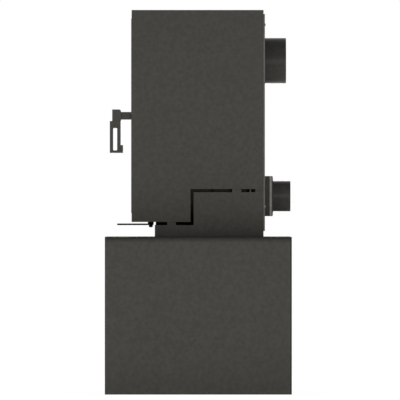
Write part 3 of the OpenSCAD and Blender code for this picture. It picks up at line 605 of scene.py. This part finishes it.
def grid(points: np.ndarray, ring: bool = True) -> Surface:
    """Turns a grid of points into four-sided faces between each point and its next neighbours.

    Args:
        points: rows by columns by 3; the rows follow each other, and each row closes on itself.
        ring: True where the last row also joins the first.

    Returns:
        The points in one list, and the faces as indices.
    """
    rows, columns = points.shape[:2]
    index = np.arange(rows * columns).reshape(rows, columns)
    after = np.roll(index, -1, axis=0) if ring else index[1:]
    here = index if ring else index[:-1]
    corner = [here, np.roll(here, -1, axis=1), np.roll(after, -1, axis=1), after]
    return points.reshape(-1, 3), np.stack(corner, axis=-1).reshape(-1, 4)


def joined(surfaces: Sequence[Surface]) -> Surface:
    """Puts several surfaces into one list of points and faces."""
    shifts = np.cumsum([0] + [len(points) for points, _ in surfaces[:-1]])
    points = np.concatenate([points for points, _ in surfaces])
    faces = np.concatenate([faces + shift for (_, faces), shift in zip(surfaces, shifts)])
    return points, faces


def mesh_of(name: str, surface: Surface, crease: float = 35.0) -> bpy.types.Mesh:
    """Makes a closed, outward-facing mesh.

    Args:
        name: the mesh's name.
        surface: its points and faces.
        crease: the angle in degrees from which an edge stays sharp.

    Returns:
        The mesh, with doubles merged and poles closed.
    """
    points, faces = surface
    mesh = bpy.data.meshes.new(name)
    mesh.from_pydata(points.tolist(), [], faces.tolist())
    shell = bmesh.new()
    shell.from_mesh(mesh)
    bmesh.ops.remove_doubles(shell, verts=shell.verts, dist=POLE_GAP)
    bmesh.ops.recalc_face_normals(shell, faces=shell.faces)
    shell.to_mesh(mesh)
    shell.free()
    smooth(mesh, crease)
    return mesh


def smooth(mesh: bpy.types.Mesh, crease: float) -> None:
    """Shades a mesh smooth, with sharp edges from an angle in degrees."""
    mesh.polygons.foreach_set("use_smooth", np.ones(len(mesh.polygons), bool))
    mesh.set_sharp_from_angle(angle=math.radians(crease))


def add_piece(name: str, mesh: bpy.types.Mesh, node: str, stands_for: bool = True,
              look: str = "") -> bpy.types.Object:
    """Adds a finished mesh that rides with a solid and takes its material slot.

    Args:
        name: the piece's name.
        mesh: its mesh, in place.
        node: the solid.
        stands_for: True where the solid is then hidden.
        look: a finish, where it isn't the solid's own.

    Returns:
        The new object.
    """
    mesh.materials.clear()
    mesh.materials.append(material_of(look or LOOK_OF[node]))
    made = bpy.data.objects.new(name, mesh)
    bpy.context.scene.collection.objects.link(made)
    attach(made, frame["nodes"][node]["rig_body"])
    if stands_for:
        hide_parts(node)
    return made


def soften(node: str, radius: float) -> None:
    """Rebuilds a solid with rounded edges: a merged copy whose sharp edges get a rounding.

    Flat triangles are joined first. Edges that are hardly sharp or very short keep no rounding.

    Args:
        node: the solid.
        radius: the rounding in metres.
    """
    mesh = frame["nodes"][node].data.copy()
    mesh.name = node + "_rounded"
    shell = bmesh.new()
    shell.from_mesh(mesh)
    bmesh.ops.remove_doubles(shell, verts=shell.verts, dist=SAME_PLACE)
    bmesh.ops.dissolve_limit(
        shell, angle_limit=math.radians(FLAT_ANGLE), verts=shell.verts, edges=shell.edges)
    shell.to_mesh(mesh)
    shell.free()
    if "custom_normal" in mesh.attributes:
        mesh.attributes.remove(mesh.attributes["custom_normal"])
    smooth(mesh, SHARP_ANGLE)
    count = len(mesh.edges)
    sharp = np.zeros(count, bool)
    mesh.edges.foreach_get("use_edge_sharp", sharp)
    ends = np.zeros(count * 2, np.int32)
    mesh.edges.foreach_get("vertices", ends)
    places = np.zeros(len(mesh.vertices) * 3, np.float32)
    mesh.vertices.foreach_get("co", places)
    span = np.diff(places.reshape(-1, 3)[ends.reshape(-1, 2)], axis=1)[:, 0]
    weight = sharp & (np.linalg.norm(span, axis=1) > SHORTEST_EDGE)
    layer = mesh.attributes.new("bevel_weight_edge", "FLOAT", "EDGE")
    layer.data.foreach_set("value", weight.astype(np.float32))
    made = add_piece(node + "_rounded", mesh, node)
    bevel = made.modifiers.new("rounding", "BEVEL")
    bevel.width = radius
    bevel.segments = ROUNDING_STEPS
    bevel.limit_method = "WEIGHT"
    bevel.harden_normals = True
    bevel.use_clamp_overlap = True


def islands(node: str) -> list[tuple[np.ndarray, np.ndarray]]:
    """Finds the separate solids of a node.

    Points at the same place count as one. Each point starts with a label of its own, and each
    triangle gives its lowest label to its corners, until nothing changes.

    Args:
        node: the node.

    Returns:
        The lowest and highest corner of each solid.
    """
    mesh = frame["nodes"][node].data
    places = np.zeros(len(mesh.vertices) * 3, np.float32)
    mesh.vertices.foreach_get("co", places)
    places = places.reshape(-1, 3)
    cell = np.round(places / SAME_PLACE).astype(np.int64)
    _, same = np.unique(cell, axis=0, return_inverse=True)
    mesh.calc_loop_triangles()
    corner = np.zeros(len(mesh.loop_triangles) * 3, np.int32)
    mesh.loop_triangles.foreach_get("vertices", corner)
    corner = same.ravel()[corner].reshape(-1, 3)
    label = np.arange(same.max() + 1)
    before = label + 1
    while not np.array_equal(before, label):
        before = label.copy()
        np.minimum.at(label, corner.ravel(), np.repeat(label[corner].min(axis=1), 3))
        label = label[label]
    owner = label[same.ravel()]
    groups = [places[owner == one] for one in np.unique(owner)]
    return [(group.min(axis=0), group.max(axis=0)) for group in groups]


def round_trip(steps: int) -> np.ndarray:
    """Gives the angles of a full turn in even steps, without its end."""
    return np.linspace(0.0, 2.0 * math.pi, steps, endpoint=False)


def turned(profile: Sequence[tuple[float, float]], centre: Sequence[float], steps: int,
           ring: bool = True, lobes: np.ndarray | None = None, upright: bool = False) -> Surface:
    """Turns a profile round an axis along the depth, or round an upright one.

    A point at radius r and height h goes to the centre plus r times (cosine, sine) of the turn,
    and h along the axis. Lobes multiply the radius, one row for each point of the profile.

    Args:
        profile: the (radius, height) pairs.
        centre: a point of the axis at height zero.
        steps: the number of steps in a turn.
        ring: True for a closed profile, False for one that starts and ends on the axis.
        lobes: factors on the radius, profile by steps.
        upright: True for an upright axis.

    Returns:
        The surface.
    """
    outline = np.array(profile, float)
    turn = round_trip(steps)
    radius = outline[:, :1] * (np.ones((len(outline), steps)) if lobes is None else lobes)
    height = np.repeat(outline[:, 1:], steps, axis=1)
    flat = (radius * np.cos(turn), radius * np.sin(turn))
    axes = (flat[0], flat[1], height) if upright else (flat[0], height, flat[1])
    return grid(np.stack(axes, axis=-1) + np.array(centre, float), ring)


def rounded_corner(radius: float, height: float, bend: float, outward: float, upward: float,
                   steps: int = 4) -> list[tuple[float, float]]:
    """Gives the points of a quarter round in a profile.

    Args:
        radius: the radius of the sharp corner that it replaces.
        height: its height.
        bend: the rounding.
        outward: 1 where the corner points away from the axis, -1 towards it.
        upward: 1 where it points up, -1 down.
        steps: the number of steps.

    Returns:
        The points, from the side of the corner to its end face.
    """
    turn = np.linspace(0.0, math.pi / 2.0, steps + 1)
    across = radius + outward * bend * (np.cos(turn) - 1.0)
    along = height + upward * bend * (np.sin(turn) - 1.0)
    return list(zip(across.tolist(), along.tolist()))


# The stove


@dataclass
class Sheetwork:
    """Folded and welded steel: the log box, the plinth, the cladding and the neck behind."""

    fold: float = 1.4 * MM
    thin_edge: float = 0.7 * MM
    folded: tuple[str, ...] = (
        "side_panel_left", "side_panel_right", "plinth_side_left", "plinth_side_right",
        "plinth_front", "top_plate", "upper_fascia", "lower_fascia", "rear_heat_shield",
    )
    cut: tuple[str, ...] = ("base_shell", "base_rear_panel", "air_neck", "air_spigot")
    flange_t: float = 3.0 * MM
    spigot_r: float = 50.0 * MM
    bead: float = 2.2 * MM
    bead_steps: int = 320
    bead_section: int = 10
    drops: float = 74.0
    drop_swell: float = 0.14

    def build(self) -> None:
        """Rounds the folds and the cut edges, and lays the weld round the air spigot."""
        for node in self.folded:
            soften(node, self.fold)
        for node in self.cut:
            soften(node, self.thin_edge)
        self.weld()

    def weld(self) -> None:
        """Lays a rippled bead where the air spigot leaves its flange.

        The bead is a ring: a point goes round the spigot with one turn and round the bead's
        section with the other, and the section swells a little with each drop of the weld.
        """
        low, high = corners("air_neck_gasket")
        middle = (low + high) / 2
        turn = round_trip(self.bead_steps)[None, :]
        around = round_trip(self.bead_section)[:, None]
        swell = self.bead * (1.0 + self.drop_swell * np.sin(turn * self.drops + around))
        radius = self.spigot_r + swell * np.cos(around)
        places = (
            middle[0] + radius * np.cos(turn),
            high[1] + self.flange_t + swell * np.sin(around),
            middle[2] + radius * np.sin(turn),
        )
        mesh = mesh_of("air_spigot_weld", grid(np.stack(places, axis=-1)), crease=60.0)
        add_piece("air_spigot_weld", mesh, "air_spigot", stands_for=False)


@dataclass
class Flue:
    """The round collar behind, with its flange on the firebox."""

    spigot_r: float = 75.0 * MM
    set_in: float = 1.6 * MM
    wall: float = 3.0 * MM
    rim: float = 1.2 * MM
    flange_r: float = 98.0 * MM
    flange_t: float = 3.0 * MM
    fillet: tuple[tuple[float, float], ...] = (
        (2.5 * MM, 0.0), (0.6 * MM, 1.8 * MM), (0.0, 2.6 * MM))
    steps: int = 160

    def build(self) -> None:
        """Turns the collar: a flange, a narrower neck inside and a wider spigot behind it."""
        low, high = corners("flue_collar")
        shield = corners("rear_heat_shield")[1][1]
        middle = (low + high) / 2
        neck = self.spigot_r - self.set_in
        front, end = low[1], high[1]
        back = front + self.flange_t
        profile = [
            (neck - self.wall, front),
            (self.flange_r, front),
            (self.flange_r, back),
            *((neck + out, back + up) for out, up in self.fillet),
            (neck, shield),
            (self.spigot_r, shield),
            *rounded_corner(self.spigot_r, end, self.rim, 1, 1),
            *reversed(rounded_corner(self.spigot_r - self.wall, end, self.rim, -1, 1)),
            (self.spigot_r - self.wall, shield + self.wall),
            (neck - self.wall, shield + self.wall),
        ]
        surface = turned(profile, (middle[0], 0.0, middle[2]), self.steps)
        add_piece("flue_collar_turned", mesh_of("flue_collar_turned", surface), "flue_collar")


@dataclass
class Screws:
    """Round-headed screws with a six-lobed socket, at the places of the solids.

    Those further out than a given distance from the middle plane are painted over. The dome
    lists shares of the head's radius and height, and the socket's mouth and floor are shares of
    its radius.
    """

    node: str
    bare_to: float = 1.0
    head_h: float = 2.0 * MM
    shank: float = 2.0 * MM
    dome: tuple[tuple[float, float], ...] = (
        (1.0, 0.0), (1.0, 0.45), (0.94, 0.68), (0.80, 0.87), (0.62, 0.97))
    socket: float = 1.75 * MM
    socket_mouth: float = 1.12
    socket_floor: float = 0.98
    socket_lip: float = 0.12 * MM
    socket_depth: float = 1.3 * MM
    lobes: int = 6
    lobe: float = 0.13
    steps: int = 36

    def build(self) -> None:
        """Makes each screw of the node and puts the bare and the painted ones into a piece each."""
        bare, painted = [], []
        for low, high in islands(self.node):
            group = bare if abs(low[0] + high[0]) / 2 < self.bare_to else painted
            group.append(self.screw(low, high))
        for name, group, look in (("_socketed", bare, ""), ("_painted", painted, "stove_paint")):
            if group:
                mesh = mesh_of(self.node + name, joined(group), crease=40.0)
                add_piece(self.node + name, mesh, self.node, look=look)

    def screw(self, low: np.ndarray, high: np.ndarray) -> Surface:
        """Turns one screw between the two corners of its solid, with its head to the rear.

        The profile runs from the tip along the shank, under the head, over its dome and down
        into the socket, whose radius follows 1 plus a share of the cosine of six turns.
        """
        middle = (low + high) / 2
        radius, length = (high[0] - low[0]) / 2, high[1] - low[1]
        outside = [
            (0.0, -length),
            (self.shank, -length),
            (self.shank, -self.head_h),
            *((radius * out, self.head_h * (up - 1.0)) for out, up in self.dome),
        ]
        inside = [
            (self.socket * self.socket_mouth, 0.0),
            (self.socket, -self.socket_lip),
            (self.socket * self.socket_floor, -self.socket_depth),
            (0.0, -self.socket_depth),
        ]
        lobes = np.ones((len(outside) + len(inside), self.steps))
        lobes[len(outside):] = 1.0 + self.lobe * np.cos(round_trip(self.steps) * self.lobes)
        centre = (middle[0], high[1], middle[2])
        return turned(outside + inside, centre, self.steps, False, lobes)


@dataclass
class Door:
    """The door: its welded frame, the glass and its clamps, and the rope that seals it."""

    edge: float = 1.0 * MM
    glass_edge: float = 0.7 * MM
    rope_corner: float = 16.0 * MM
    stitch: float = 7.0 * MM
    around: int = 26
    along: int = 1500
    strands: int = 3
    relief: float = 0.16
    relief_power: float = 1.5

    def build(self) -> None:
        """Rounds the frame, the glass, the clamps and the brackets, and knits the rope."""
        soften("door_frame", self.edge)
        soften("door_glass", self.glass_edge)
        soften("glass_retainers", self.glass_edge)
        soften("hinge_brackets", self.edge)
        soften("latch_keeper", self.glass_edge)
        Screws("retainer_screws").build()
        self.rope()

    def rope(self) -> None:
        """Carries a knitted round section along a rectangle with rounded corners.

        Two sine waves run round the rope in opposite directions, and where their product is
        small, the section's radius is lowered. That is the relief of a knitted cover.
        """
        low, high = corners("door_rope_seal")
        radius = float(high[1] - low[1]) / 2
        middle = (low + high) / 2
        half_x = float(high[0] - low[0]) / 2 - radius
        half_z = float(high[2] - low[2]) / 2 - radius
        whole, place, line_x, line_z, outward = self.middle_line(half_x, half_z)
        turn = round_trip(self.around)[None, :]
        stitches = round(whole / self.stitch)
        wave = (place / whole * 2.0 * math.pi * stitches)[:, None]
        twist = turn * self.strands
        knit = np.abs(np.sin(wave / 2 + twist) * np.sin(wave / 2 - twist))
        section = radius * (1.0 - self.relief * (1.0 - knit) ** self.relief_power)
        across = section * np.cos(turn)
        points = np.stack([
            middle[0] + line_x + across * np.cos(outward),
            middle[1] + section * np.sin(turn),
            middle[2] + line_z + across * np.sin(outward)], axis=-1)
        mesh = mesh_of("door_rope_knitted", grid(points), crease=80.0)
        add_piece("door_rope_knitted", mesh, "door_rope_seal")

    def middle_line(self, half_x: float, half_z: float) -> tuple:
        """Follows four straight runs and four quarter rounds in even steps of length.

        It starts at the foot of the right side and goes up. Each run has a heading, and in a
        corner the line turns from one heading to the next.

        Args:
            half_x: half the width of the rectangle.
            half_z: half its height.

        Returns:
            The whole length, how far along it each step is, and three columns: the two
            coordinates of each step from the rectangle's middle, and its angle outwards.
        """
        straight_x, straight_z = 2 * (half_x - self.rope_corner), 2 * (half_z - self.rope_corner)
        bend = math.pi / 2 * self.rope_corner
        lengths = np.array([straight_z, bend, straight_x, bend] * 2)
        starts = np.concatenate([[0.0], np.cumsum(lengths)])
        whole = starts[-1]
        place = np.linspace(0.0, whole, self.along, endpoint=False)
        part = np.searchsorted(starts, place, side="right") - 1
        in_corner = part % 2 == 1
        local = place - starts[part]
        heading = (part // 2 + 1) * math.pi / 2
        turning = np.where(in_corner, local / self.rope_corner, 0.0)
        run = np.where(in_corner, 0.0, local)
        first = np.array([
            [half_x, -straight_z / 2], [half_x, straight_z / 2],
            [straight_x / 2, half_z], [-straight_x / 2, half_z],
            [-half_x, straight_z / 2], [-half_x, -straight_z / 2],
            [-straight_x / 2, -half_z], [straight_x / 2, -half_z]])[part]
        inward = heading + math.pi / 2
        arc_x = self.rope_corner * (np.cos(inward) - np.cos(inward + turning))
        arc_z = self.rope_corner * (np.sin(inward) - np.sin(inward + turning))
        line_x = first[:, 0] + run * np.cos(heading) + arc_x
        line_z = first[:, 1] + run * np.sin(heading) + arc_z
        outward = heading + turning - math.pi / 2
        return whole, place, line_x[:, None], line_z[:, None], outward[:, None]


@dataclass
class Handle:
    """The side handle: a head block on a square stem, with a slotted grip hanging from it."""

    edge: float = 0.4 * MM

    def build(self) -> None:
        """Rounds the milled edges."""
        for node in ("handle_head", "handle_grip", "handle_spindle", "latch_tongue"):
            soften(node, self.edge)


@dataclass
class AirControl:
    """The lever below the front edge, with the nut that holds it and its spacer ring.

    The nut's chamfer lists, from a face of the nut inwards, how far the nut may reach past its
    flats and how deep below the face that is, as a share of the chamfer.
    """

    edge: float = 0.8 * MM
    nut_flat: float = 6.5 * MM
    chamfer: float = 0.9 * MM
    cone: tuple[tuple[float, float], ...] = ((0.1 * MM, 0.0), (0.6 * MM, 0.35), (math.inf, 1.0))
    bore: float = 4.0 * MM
    bore_edge: float = 0.4 * MM
    ring_edge: float = 0.5 * MM
    steps: int = 96

    def build(self) -> None:
        """Rounds the lever, and turns the nut and the spacer ring."""
        soften("air_lever", self.edge)
        nut, ring = sorted(islands("lever_nut"), key=lambda pair: pair[0][2])
        surface = joined([self.nut(*nut), self.ring(*ring)])
        mesh = mesh_of("lever_nut_chamfered", surface, crease=25.0)
        add_piece("lever_nut_chamfered", mesh, "lever_nut")

    def nut(self, low: np.ndarray, high: np.ndarray) -> Surface:
        """Turns a hexagon nut whose corners are cut by a chamfer.

        The radius at a turn is half the width across flats divided by the cosine of the angle
        from the nearest flat, and near both faces it is at most that of a cone.
        """
        middle = (low + high) / 2
        sixth = math.pi / 3
        start = 0.0 if high[0] - low[0] > high[1] - low[1] else sixth / 2
        from_flat = np.mod(round_trip(self.steps) - start, sixth) - sixth / 2
        hexagon = self.nut_flat / np.cos(from_flat)
        bottom, top = float(low[2]), float(high[2])
        cone = [(np.minimum(hexagon, self.nut_flat + past), share * self.chamfer)
                for past, share in self.cone]
        wide, plain = (np.full(self.steps, self.bore + edge) for edge in (self.bore_edge, 0.0))
        rows = [
            *((radii, bottom + depth) for radii, depth in cone),
            *((radii, top - depth) for radii, depth in reversed(cone)),
            (wide, top),
            (plain, top - self.bore_edge),
            (plain, bottom + self.bore_edge),
            (wide, bottom),
        ]
        lobes = np.stack([radii for radii, _ in rows])
        profile = [(1.0, height) for _, height in rows]
        return turned(profile, (middle[0], middle[1], 0.0), self.steps, lobes=lobes, upright=True)

    def ring(self, low: np.ndarray, high: np.ndarray) -> Surface:
        """Turns the spacer ring, with its edges rounded."""
        middle = (low + high) / 2
        outer = float(high[0] - low[0]) / 2
        bottom, top = float(low[2]), float(high[2])
        profile = [
            *reversed(rounded_corner(outer, bottom, self.ring_edge, 1, -1)),
            *rounded_corner(outer, top, self.ring_edge, 1, 1),
            (self.bore, top),
            (self.bore, bottom),
        ]
        return turned(profile, (middle[0], middle[1], 0.0), self.steps, upright=True)


@dataclass
class FireSide:
    """What is seen behind the glass: the lining boards, the baffle, the retainer and the grate."""

    board_edge: float = 2.2 * MM
    plate_edge: float = 0.8 * MM
    cast_edge: float = 1.4 * MM
    boards: tuple[str, ...] = (
        "lining_left", "lining_right", "lining_rear", "lining_floor", "baffle_board")
    plates: tuple[str, ...] = ("log_retainer", "ash_pan", "firebox_front")

    def build(self) -> None:
        """Rounds the worn edges of the boards, the plates and the casting."""
        for node in self.boards:
            soften(node, self.board_edge)
        for node in self.plates:
            soften(node, self.plate_edge)
        soften("grate", self.cast_edge)


def dress_solids() -> None:
    """Gives every solid that is still shown, and every other one, the finish of its slot."""
    for node, solid in frame["nodes"].items():
        for place in solid.material_slots:
            place.material = material_of(LOOK_OF[node])


# Studio


@dataclass
class Studio:
    """A pale floor, four low soft boxes that stand round the stove, and the camera.

    The camera stands square to the right side, far away with a long lens. The light comes from
    near the height of the floor and of the stove, so upper faces stay darker than side faces.
    The span is what the picture shows across at the aim.
    """

    span: float = 1.312
    aim: Vector3 = (0.20, 0.0055, 0.6350)
    lens: float = 1200.0
    sensor: float = 36.0
    box_distance: float = 4.0
    box_width: float = 2.4
    box_height: float = 1.7
    box_power: float = 40.0
    sky: float = 0.14
    floor_half: float = 5.0
    floor_colour: Colour = (0.80, 0.80, 0.79, 1.0)
    floor_glow: float = 1.12
    floor_dim: float = 0.45
    floor_reach: float = 0.45
    floor_white: float = 0.95
    nearest: float = 1.0
    furthest: float = 200.0

    def build(self) -> None:
        """Sets the view transform, and adds the world, the floor, the lights and the camera."""
        bpy.context.scene.view_settings.view_transform = "Standard"
        self.world()
        self.floor()
        for quarter in range(4):
            self.soft_box(quarter * math.pi / 2)
        self.camera()

    def background_rays(self, nodes: bpy.types.Nodes, links: bpy.types.NodeLinks) -> Socket:
        """Gives 1 for camera, glossy and transmission rays, and 0 for the others."""
        path = nodes.new("ShaderNodeLightPath")
        total = path.outputs["Is Camera Ray"]
        for other in ("Is Glossy Ray", "Is Transmission Ray"):
            larger = nodes.new("ShaderNodeMath")
            larger.operation = "MAXIMUM"
            links.new(total, larger.inputs[0])
            links.new(path.outputs[other], larger.inputs[1])
            total = larger.outputs[0]
        return total

    def world(self) -> None:
        """Makes a world that is white to look at and dim as a light."""
        world = bpy.data.worlds.new("pale_room")
        bpy.context.scene.world = world
        world.use_nodes = True
        nodes, links = world.node_tree.nodes, world.node_tree.links
        nodes.clear()
        both, output = nodes.new("ShaderNodeMixShader"), nodes.new("ShaderNodeOutputWorld")
        links.new(self.background_rays(nodes, links), both.inputs[0])
        for place, strength in ((1, self.sky), (2, 1.0)):
            plain = nodes.new("ShaderNodeBackground")
            plain.inputs["Color"].default_value = WHITE
            plain.inputs["Strength"].default_value = strength
            links.new(plain.outputs[0], both.inputs[place])
        links.new(both.outputs[0], output.inputs[0])

    def floor(self) -> None:
        """Lays a pale, softly lit floor that looks nearly white and keeps a faint shadow.

        Its glow rises with the distance from the stove, from dim beside it to full further out.
        """
        half = self.floor_half
        mesh = bpy.data.meshes.new("pale_floor")
        places = [(-half, -half, 0.0), (half, -half, 0.0), (half, half, 0.0), (-half, half, 0.0)]
        mesh.from_pydata(places, [], [(0, 1, 2, 3)])
        shader = Shader("pale_floor")
        beside = shader.axis("X").size() - float(CAD_BOX[1][0])
        before = shader.axis("Y").size() - float(CAD_BOX[1][1])
        away = beside.math("MAXIMUM", before).step_up(low=0.0, high=self.floor_reach)
        shader.set(
            Base_Color=self.floor_colour,
            Roughness=0.9,
            Emission_Color=shader.mix(away, scaled(WHITE, self.floor_dim), WHITE),
            Emission_Strength=self.floor_glow,
        )
        glow = shader.nodes.new("ShaderNodeEmission")
        both = shader.nodes.new("ShaderNodeMixShader")
        seen = Value(shader, self.background_rays(shader.nodes, shader.links))
        shader.feed(both.inputs[0], seen * self.floor_white)
        shader.feed(both.inputs[1], shader.surface.outputs[0])
        shader.feed(both.inputs[2], glow.outputs[0])
        shader.feed(shader.output.inputs["Surface"], both.outputs[0])
        mesh.materials.append(shader.material)
        floor = bpy.data.objects.new("pale_floor", mesh)
        bpy.context.scene.collection.objects.link(floor)

    def soft_box(self, turn: float) -> None:
        """Stands one upright area light on the floor, facing the stove.

        Args:
            turn: its place round the stove, as an angle.
        """
        lamp = bpy.data.lights.new("soft_box", "AREA")
        lamp.shape = "RECTANGLE"
        lamp.size, lamp.size_y = self.box_width, self.box_height
        lamp.energy = self.box_power
        lamp.color = WHITE[:3]
        stand = bpy.data.objects.new("soft_box", lamp)
        away = self.box_distance
        stand.location = (away * math.cos(turn), away * math.sin(turn), self.box_height / 2)
        stand.rotation_euler = (math.pi / 2, 0.0, turn + math.pi / 2)
        stand.visible_camera = False
        bpy.context.scene.collection.objects.link(stand)

    def camera(self) -> None:
        """Sets the camera at the right side, looking across the stove to the left."""
        view = bpy.data.cameras.new("side_view")
        view.type = "PERSP"
        view.sensor_width = self.sensor
        view.lens = self.lens
        view.clip_start = self.nearest
        view.clip_end = self.furthest
        seat = bpy.data.objects.new("side_view", view)
        away = self.span * self.lens / self.sensor
        seat.location = (self.aim[0] + away, self.aim[1], self.aim[2])
        seat.rotation_euler = (math.pi / 2, 0.0, math.pi / 2)
        bpy.context.scene.collection.objects.link(seat)
        bpy.context.scene.camera = seat


def main() -> None:
    """Dresses the solids, builds the finer pieces and sets up the studio."""
    logging.basicConfig(level=logging.INFO, format="%(name)s: %(message)s")
    dress_solids()
    parts = [
        Sheetwork(), Flue(), Screws("zinc_screws", bare_to=0.2), Screws("base_panel_screws"),
        Door(), Handle(), AirControl(), FireSide(),
    ]
    for part in parts:
        part.build()
        log.info("built %s", type(part).__name__)
    Studio().build()


if __name__ == "__main__":
    main()
